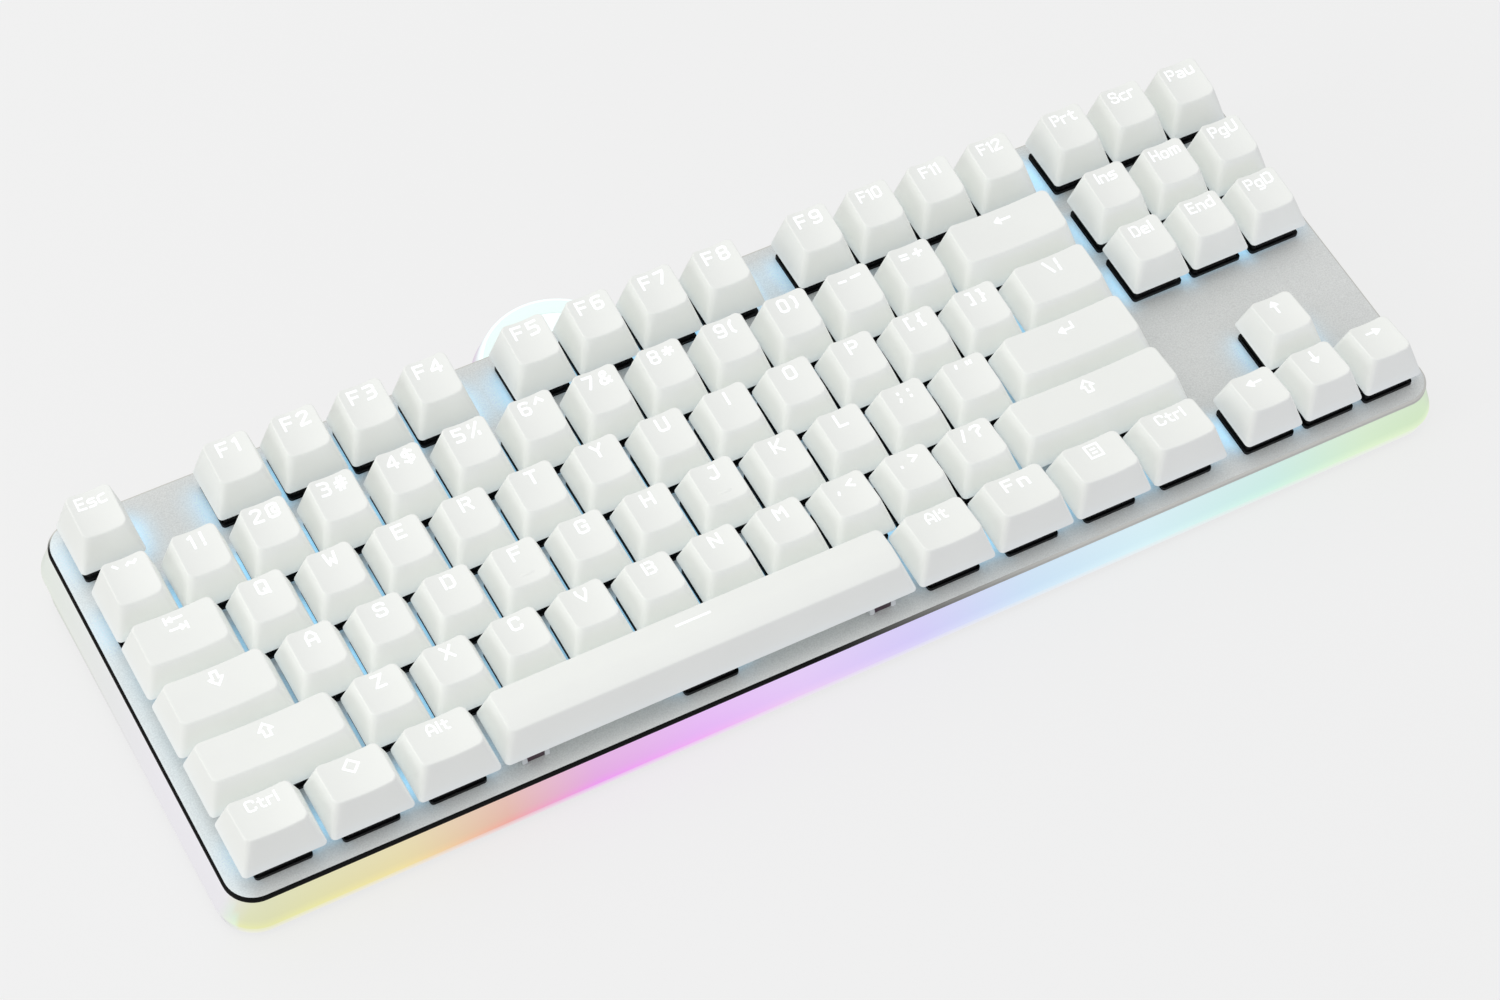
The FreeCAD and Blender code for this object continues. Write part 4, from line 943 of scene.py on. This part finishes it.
def plate_glow(x, y):
    """Strength of the light that leaks out beside the switches, in soft patches."""
    total = 0.0
    for cx, cy in CENTRES:
        dx, dy = abs(x - cx), y - cy
        if dx > GLOW_END or abs(dy) > GLOW_END:
            continue
        beside = max(dx - FLANGE / 2, 0.0)
        fall = (beside / GLOW_REACH) ** 1.6 + (abs(dy + 0.5) / GLOW_ALONG) ** 3
        total += math.exp(-fall) * share((dx - 6.0) / 2.5)
    patch = 0.8 + 0.6 * noise.noise(Vector((x * 0.045, y * 0.045, 3.0)))
    if abs(x) > FIELD_WIDTH / 2 - 2:
        patch *= MARGIN_GLOW
    patch *= max(0.2, min(1.0, (y - FRONT) / FRONT_GLOW_FADE))
    return share(patch * total)


plate = make("plate", plate_shape(), (SAND, EDGE), "case", ("top_plate",),
             angle=math.radians(28))


def plate_light(x, y, z):
    margin = share((-FIELD_WIDTH / 2 + 3 - x) / 3)
    return [PLATE_SHEEN + c * plate_glow(x, y) + margin * m for c, m in zip(GLOW_COLOUR, LEFT_MARGIN_LIGHT)]


paint(plate, "Glow", plate_light)
attribute_colour(SAND, None, "Glow")


def edge_shine(x, y, z):
    """Painted reflection on the polished edge: black at the left and the front left, light towards the right
    and the back.
    """
    f = share((x - EDGE_DARK_TO) / (EDGE_LIGHT_FROM - EDGE_DARK_TO))
    if y > PLATE_BACK - 6:
        f = max(f, min(1.0, (y - PLATE_BACK + 6) / 5))
    f = f * f * (3 - 2 * f)
    return [lerp(0.005, c, f) for c in (0.66, 0.66, 0.62)]


paint(plate, "EdgeReflection", edge_shine)
attribute_colour(EDGE, "EdgeReflection")


# ---- case ----
def on_floor(ring_high, ring_low, z_high, z_low, height):
    """Points where lines from ring_high to ring_low meet the desk height; deck coordinates."""
    points = []
    for (x0, y0), (x1, y1) in zip(ring_high, ring_low):
        h0 = y0 * SIN + z_high * COS + DECK_Z
        h1 = y1 * SIN + z_low * COS + DECK_Z
        t = (h0 - height) / (h0 - h1)
        points.append((lerp(x0, x1, t), lerp(y0, y1, t), lerp(z_high, z_low, t)))
    return points


def case_shape():
    """The case from the middle of its underside up its wall and lip, and down inside to its floor."""
    shape = Shape()

    def level(grow, z, with_bump=True):
        return [(x, y, z) for x, y in case_outline(grow, with_bump)]

    def slanted(high, low, z_high, height):
        return on_floor(case_outline(high), case_outline(low), z_high, -LOWER_DEPTH, height)

    bottom, foot_edge = (slanted(LOWER_GROW, LOWER_GROW_END, -LIP_DROP - 0.2, height)
                         for height in (FEET_HEIGHT, FEET_HEIGHT + 0.4))
    middle = [(x - math.copysign(min(0.4, abs(x)), x), y + (0.4 if y < 0 else -0.4), z)
              for x, y, z in bottom]
    slope = (LIP_GROW - 0.1) / (LIP_DROP - PLATE_THICKNESS)
    rings = [middle, foot_edge, level(LOWER_GROW, -LIP_DROP - 0.35),
             level(LOWER_GROW + 0.25, -LIP_DROP - 0.12)]
    for s in (0.0, 0.3, 0.7, 1.0):
        grow = LIP_GROW - 0.12 * (1 - s) ** 2 - slope * LIP_ROUND * s
        rings.append(level(grow - (0.1 if s == 0 else 0), -LIP_DROP + LIP_ROUND * s))
    for below in (LIP_DROP - PLATE_THICKNESS - 1.4, LIP_DROP - PLATE_THICKNESS - 2.6, 3.4, 0.5):
        rings.append(level(0.1 + slope * below, -PLATE_THICKNESS - below))
    rings += [level(-0.05, -PLATE_THICKNESS - 0.08), level(-0.35, -PLATE_THICKNESS)]
    rings += [level(-RIM_WIDTH, -PLATE_THICKNESS, False), level(-RIM_WIDTH, -5.5, False),
              level(-0.6, -9.5), slanted(-0.6, -0.6, -9.0, FEET_HEIGHT + FLOOR_THICKNESS)]
    shape.tube(rings)
    return shape


def carve(obj, shapes):
    """Cuts closed shapes, given with their frame flag, out of obj and applies it."""
    tools = [mesh_object("cutter", shape, desk) for shape, desk in shapes]
    for tool in tools:
        cut = obj.modifiers.new("cut", "BOOLEAN")
        cut.operation, cut.solver, cut.object = "DIFFERENCE", "EXACT", tool
    bpy.context.view_layer.update()
    result = bpy.data.meshes.new_from_object(obj.evaluated_get(bpy.context.evaluated_depsgraph_get()))
    obj.modifiers.clear()
    obj.data = result
    for tool in tools:
        bpy.data.objects.remove(tool)
    result.polygons.foreach_set("use_smooth", [True] * len(result.polygons))
    result.set_sharp_from_angle(angle=SMOOTH_ANGLE)


FOOT_X = 118.0
FOOT_HINGE = next(j["pos_m"] for j in frame["record"]["behaviour"]["joints"]
                  if j["name"] == "flip_foot_right_hinge")
FOOT_HINGE_Y, FOOT_HINGE_Z = FOOT_HINGE[1] / MM, FOOT_HINGE[2] / MM
FOOT_LENGTH, FOOT_WIDTH, POCKET_HEIGHT = 14.0, 30.0, 5.0
POCKET_WALL = 1.6
SCREW_UNITS = [(1.5, 5.1), (6.25, 5.1), (10.75, 5.1), (17.25, 5.1), (1.6, 3), (8, 3), (15.125, 3),
               (2.6, 1), (7.5, 1), (11.9, 1), (17.25, 1)]
SCREW_PLACES = [(LEFT + u * PITCH, FRONT + v * PITCH) for u, v in SCREW_UNITS]
SEAT_Z, HEAD_RADIUS, HEAD_HEIGHT = -11.0, 2.3, 1.6


def crescent_shape(inner, outer, back_line, z_low, z_high, bevel=0.0):
    """Part of a ring round the bump's centre that lies behind back_line."""
    steps = 40
    first, last = (math.asin((back_line - BUMP_Y) / r) for r in (outer, inner))

    def loop(inset, z):
        points = []
        for r, start, end in ((outer - inset, first, math.pi - first), (inner + inset, math.pi - last, last)):
            turns = (lerp(start, end, k / steps) for k in range(steps + 1))
            points += [(BUMP_X + r * math.cos(a), BUMP_Y + r * math.sin(a), z) for a in turns]
        return points

    shape = Shape()
    rings = [loop(0, z_low), loop(0, z_high - bevel), loop(bevel, z_high)]
    shape.tube(rings, cap_first=False, cap_last=False)
    n = len(rings[0])
    top = (len(rings) - 1) * n
    for i in range(steps):
        j = n - 1 - i
        shape.add([], [(top + i, top + i + 1, top + j - 1, top + j), (j, j - 1, i + 1, i)])
    return shape


def socket_ring(points, y):
    """Ring of (x, z) offsets from the middle of the data socket."""
    return [(BUMP_X + x, y, SOCKET_Z + z) for x, z, _ in points]


def socket_prism(points, y0, y1):
    shape = Shape()
    shape.tube([socket_ring(points, y1), socket_ring(points, y0)])
    return shape


SOCKET_WIDE, SOCKET_DEEP, SOCKET_HIGH = 8.9, 7.4, 3.2
SOCKET_MOUTH_Y = BUMP_Y + BUMP_RADIUS + 1.6
SOCKET_Z = BOARD_BOTTOM - SOCKET_HIGH / 2

case = make("case", case_shape(), (FROST,), "case", ("bottom_case",))
SOCKET_WAY = rounded_rect(SOCKET_WIDE + 0.3, SOCKET_HIGH + 0.3, 1.7, 5)
PLUG_WAY = rounded_rect(12.6, 6.4, 2.0, 5)
tools = [(socket_prism(PLUG_WAY, SOCKET_MOUTH_Y, SOCKET_MOUTH_Y + 12), False),
         (socket_prism(SOCKET_WAY, SOCKET_MOUTH_Y - 6, SOCKET_MOUTH_Y + 1), False)]
wells = Shape()
for x, y in SCREW_PLACES:
    depth = (y * SIN + DECK_Z) / COS + 2
    wells.tube([circle(HEAD_RADIUS + 0.3, 24, (x, y, -depth)),
                circle(HEAD_RADIUS + 0.3, 24, (x, y, SEAT_Z + 0.1))])
tools.append((wells, False))
pockets, liners = Shape(), Shape()
y0, y1 = FOOT_HINGE_Y - FOOT_LENGTH - 2.5, FOOT_HINGE_Y + 2.6
liner_low, liner_high = FEET_HEIGHT + FLOOR_THICKNESS - 0.2, FEET_HEIGHT + POCKET_HEIGHT
for sx in (-1, 1):
    pockets.tube([rounded_rect(FOOT_WIDTH + 1, y1 - y0, 0.8, 3, (sx * FOOT_X, (y0 + y1) / 2, z))
                  for z in (-3.0, FEET_HEIGHT + POCKET_HEIGHT)])
    liners.tube([rounded_rect(FOOT_WIDTH + 1 + 2 * grow, y1 - y0 + 2 * grow, 0.8 + grow, 3,
                              (sx * FOOT_X, (y0 + y1) / 2, z)) for grow, z in
                 ((0.05, liner_high), (0.05, liner_low), (POCKET_WALL, liner_low),
                  (POCKET_WALL, liner_high + POCKET_WALL))])
tools.append((pockets, True))
carve(case, tools)
foot_pockets = make("foot_pockets", liners, (FROST,), "case", (), desk=True)

# colours of the light in the case: (millimetres from the left end, wall, lip), linear light
CASE_LIGHT = (
    (0, (0.70, 0.72, 0.47), (0.78, 0.80, 0.42)),
    (20, (0.75, 0.73, 0.42), (0.85, 0.82, 0.38)),
    (45, (0.80, 0.70, 0.40), (0.90, 0.76, 0.36)),
    (72, (0.78, 0.49, 0.40), (0.86, 0.40, 0.34)),
    (98, (0.78, 0.41, 0.76), (0.86, 0.33, 0.88)),
    (128, (0.80, 0.47, 0.92), (0.88, 0.44, 0.92)),
    (156, (0.78, 0.58, 0.94), (0.85, 0.61, 0.92)),
    (190, (0.66, 0.60, 0.94), (0.72, 0.66, 0.96)),
    (225, (0.60, 0.76, 0.92), (0.66, 0.82, 0.96)),
    (260, (0.66, 0.86, 0.92), (0.72, 0.92, 0.96)),
    (300, (0.60, 0.84, 0.78), (0.66, 0.92, 0.80)),
    (330, (0.66, 0.83, 0.60), (0.76, 0.92, 0.64)),
    (354, (0.62, 0.78, 0.52), (0.78, 0.90, 0.62)),
)


PALE_TOP = 0.12               # how much paler the light is next to the plate


def case_light(x, y, z):
    """Light from inside at a point of the case."""
    along = x + PLATE_HALF
    for (a, wall0, lip0), (b, wall1, lip1) in zip(CASE_LIGHT, CASE_LIGHT[1:]):
        if a <= along <= b:
            break
    f = share((along - a) / (b - a))
    near_plate = PALE_TOP * share(1 + (z + PLATE_THICKNESS) / 6)
    near_lip = math.exp(-(max(0.0, z + LIP_DROP) / 1.6) ** 2)
    wall = [lerp(c, 0.85, near_plate) for c in blend(wall0, wall1, f)]
    return blend(wall, blend(lip0, lip1, f), near_lip)


FRONT_GLOW, FRONT_BASE = 0.78, 0.3    # shares of the front's colour that glow and that reflect
SIDE_GLOW, SIDE_BASE = 0.22, 0.7
LEFT_LIGHT = (0.2, 0.185, 0.22)
BUMP_LIGHT, BUMP_LIGHT_DOWN = (0.40, 0.52, 0.51), 6.0
FADE_FROM, FADE_TO = 3.6, 0.8          # desk heights between which the front fades into the paper
FADED = (0.86, 0.855, 0.865)
UNDER_GLOW = (0.15, 0.15, 0.16)


def on_front(y):
    return share((PLATE_FRONT + 6 - y) / 6)


def front_colour(x, y, z):
    height = y * SIN + z * COS + DECK_Z
    f = share((FADE_FROM - height) / (FADE_FROM - FADE_TO))
    return blend(case_light(x, y, z), FADED, f)


def underneath(y, z):
    return y * SIN + z * COS + DECK_Z < FEET_HEIGHT + 0.1


def case_glow(x, y, z):
    if underneath(y, z):
        return UNDER_GLOW
    side = [SIDE_GLOW * c for c in case_light(x, y, z)]
    if x < -PLATE_HALF + 8:
        f = share(0.75 - y / 70)
        side = blend(side, LEFT_LIGHT, f)
    f = share((BUMP_RADIUS + 8 - math.hypot(x - BUMP_X, y - BUMP_Y)) / 5)
    f *= share(1 + (z + PLATE_THICKNESS) / BUMP_LIGHT_DOWN)
    side = blend(side, BUMP_LIGHT, f)
    return [lerp(p, FRONT_GLOW * q, on_front(y)) for p, q in zip(side, front_colour(x, y, z))]


# base colour of the case: grey, and at the front the colour of the light inside it painted into the base
# colour, turning to the paper's colour near the desk
def case_base(x, y, z):
    if underneath(y, z):
        return [SIDE_BASE] * 3
    return [lerp(SIDE_BASE, FRONT_BASE * c, on_front(y)) for c in front_colour(x, y, z)]


for piece in (case, foot_pockets):
    paint(piece, "Tint", case_base)
    paint(piece, "Glow", case_glow)
attribute_colour(FROST, "Tint", "Glow")

ring = crescent_shape(RING_OUTER - RING_WIDTH, RING_OUTER, PLATE_BACK + 0.5,
                      -PLATE_THICKNESS - RING_DEPTH, -PLATE_THICKNESS + RING_PROUD, 0.15)
make("light_ring", ring, (RING,), "case", ("rear_light_ring",))

# ---- socket, screws, pads and feet ----
socket = Shape()
outer = rounded_rect(SOCKET_WIDE, SOCKET_HIGH, SOCKET_HIGH / 2 - 0.02, 6)
inner = rounded_rect(SOCKET_WIDE - 0.6, SOCKET_HIGH - 0.6, SOCKET_HIGH / 2 - 0.32, 6)
back_y = SOCKET_MOUTH_Y - SOCKET_DEEP
socket.tube([socket_ring(points, y) for points, y in
             ((inner, back_y + 0.8), (inner, SOCKET_MOUTH_Y), (outer, SOCKET_MOUTH_Y), (outer, back_y))])
socket.box(6.6, SOCKET_DEEP - 1.6, 0.7, (BUMP_X, SOCKET_MOUTH_Y - SOCKET_DEEP / 2 - 0.4, SOCKET_Z - 0.35),
           1, 0.08)
make("usb_shell", socket, (SHELL, CHIP), "case", ("usb_socket",))

screws = Shape()
for x, y in SCREW_PLACES:
    low = SEAT_Z - HEAD_HEIGHT
    screws.tube([circle(r, 24, (x, y, z)) for r, z in
                 ((HEAD_RADIUS - 0.35, low), (HEAD_RADIUS - 0.08, low + 0.25), (HEAD_RADIUS, low + 0.6),
                  (HEAD_RADIUS, SEAT_Z), (1.2, SEAT_Z), (1.2, -2.2))])
    screws.tube([circle(2.2, 6, (x, y, -5.0)), circle(2.2, 6, (x, y, -PLATE_THICKNESS))])
fasteners = make("fasteners", screws, (SCREW,), "case", ("case_fasteners",))
drive = Shape()
for x, y in SCREW_PLACES:
    low = SEAT_Z - HEAD_HEIGHT - 0.5
    drive.tube([cross_ring(2.6, 0.6, low, x, y), cross_ring(2.2, 0.5, low + 1.4, x, y)])
carve(fasteners, [(drive, False)])

pads = Shape()
pad_low, pad_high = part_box("rubber_feet")
PAD_WIDE, PAD_DEEP = 34.0, 8.0
for sx in (-1, 1):
    for y in (pad_low.y / MM + PAD_DEEP / 2, pad_high.y / MM - PAD_DEEP / 2):
        x = sx * (pad_high.x / MM - PAD_WIDE / 2)
        rings = []
        for inset, z in ((0.55, 0.0), (0.2, 0.1), (0.0, 0.5), (0.0, FEET_HEIGHT + 0.3)):
            rings.append(rounded_rect(PAD_WIDE - 2 * inset, PAD_DEEP - 2 * inset, 3.5 - inset, 8, (x, y, z)))
        pads.tube(rings)
make("pads", pads, (PAD,), "case", ("rubber_feet",), desk=True)


def foot_shape(x):
    """Fold-out foot lying flat, in desk millimetres."""
    shape = Shape()
    y_hinge, z_hinge, half = FOOT_HINGE_Y, FOOT_HINGE_Z, FOOT_WIDTH / 2
    tip = y_hinge - FOOT_LENGTH
    profile = [(y, z_hinge + z) for y, z in
               ((y_hinge, -2.0), (y_hinge, 1.6), (tip + 1.4, 1.6), (tip + 0.41, 1.19), (tip, 0.2),
                (tip, -0.6), (tip + 0.41, -1.59), (tip + 1.4, -2.0), (tip + 2.2, -2.0),
                (tip + 2.5, -1.2), (tip + 4.5, -1.2), (tip + 4.8, -2.0))]
    shape.tube([[(x - half + dx, y, z) for y, z in profile] for dx in (0, 0.01)]
               + [[(x + half - dx, y, z) for y, z in profile] for dx in (0.01, 0)])
    for reach, radius in ((half, 2.1), (half + 2.1, 1.2)):
        shape.tube([[(x + sx * reach, y, z) for y, z, _ in circle(radius, 24, (y_hinge, z_hinge, 0))]
                    for sx in (-1, 1)])
    for k in range(3):
        shape.box(FOOT_WIDTH - 6, 0.8, 0.35, (x, tip + 6.0 + 1.8 * k, z_hinge - 2.3), 0, 0.1)
    return shape


for side, sx in (("left", -1), ("right", 1)):
    node = "flip_foot_" + side
    make("foot_" + side, foot_shape(sx * FOOT_X), (FOOT,), node, (node,), desk=True)

# ---- CAD pieces that stay, with better finishes ----
FINISHES = {"circuit_board": BOARD, "board_chips": CHIP, "edge_leds": LAMP, "key_leds": LAMP,
            "switch_lower_housings": BLACK, "switch_springs": STEEL, "switch_contacts": BRASS}
for name in ("backspace", "enter", "left_shift", "right_shift", "space"):
    FINISHES["stabiliser_wire_" + name] = STEEL
for node, finish in FINISHES.items():
    for item in frame["nodes"][node].material_slots:
        item.material = finish

# ---- floor, light and camera ----
FLOOR_HALF = 6000.0
floor_shape = Shape()
floor_shape.add([(x, y, 0) for x, y in rect_loop(0, 0, 2 * FLOOR_HALF, 2 * FLOOR_HALF)], [(0, 1, 2, 3)])
floor = mesh_object("floor", floor_shape, desk=True)
PAPER = material("paper", (0.2, 0.2, 0.2), 0.95, Emission_Color=(1, 1, 1, 1), Emission_Strength=0.69,
                 Specular_IOR_Level=0.0)
floor.data.materials.append(PAPER)
FLOOR_SEEN, FLOOR_CAST = 0.69, 0.3         # glow of the paper in the picture, and on the object
paper_nodes, paper_links = PAPER.node_tree.nodes, PAPER.node_tree.links
ray = paper_nodes.new("ShaderNodeLightPath")
switch = paper_nodes.new("ShaderNodeMapRange")
switch.inputs["To Min"].default_value, switch.inputs["To Max"].default_value = FLOOR_CAST, FLOOR_SEEN
paper_links.new(ray.outputs["Is Camera Ray"], switch.inputs["Value"])
paper_links.new(switch.outputs["Result"], paper_nodes["Principled BSDF"].inputs["Emission Strength"])

world = bpy.data.worlds.new("studio")
bpy.context.scene.world = world
world.use_nodes = True
world.node_tree.nodes["Background"].inputs["Color"].default_value = (1.0, 1.0, 1.0, 1)
world.node_tree.nodes["Background"].inputs["Strength"].default_value = 0.69


def softbox(name, location, target, size, power, colour=(1, 1, 1)):
    light = bpy.data.lights.new(name, "AREA")
    light.shape, light.size, light.energy, light.color = "DISK", size, power, colour
    lamp = add_object(name, light)
    lamp.location = location
    lamp.rotation_mode = "QUATERNION"
    lamp.rotation_quaternion = (Vector(target) - Vector(location)).to_track_quat("-Z", "Y")
    return lamp


softbox("key_light", (-0.2, 0.7, 1.4), (0, 0, 0), 2.2, 6.3)
softbox("fill_light", (-1.5, -0.1, 0.55), (0, 0, 0), 1.0, 5.2)
softbox("violet_light", (0.5, -0.9, 0.12), (0.1, 0, 0.03), 0.5, 0.8, (0.62, 0.62, 1.0))

CAMERA_AT = (-0.33408, -0.58832, 0.85065)
CAMERA_TURN = (38.335, -0.994, -28.541)      # degrees about x, y, z
CAMERA_LENS = 96.9
camera_data = bpy.data.cameras.new("camera")
camera_data.lens, camera_data.sensor_width = CAMERA_LENS, 36.0
camera_data.clip_start, camera_data.clip_end = 0.01, 50
camera = add_object("camera", camera_data)
camera.location = CAMERA_AT
camera.rotation_euler = [math.radians(a) for a in CAMERA_TURN]
bpy.context.scene.camera = camera
bpy.context.scene.view_settings.view_transform = "Standard"
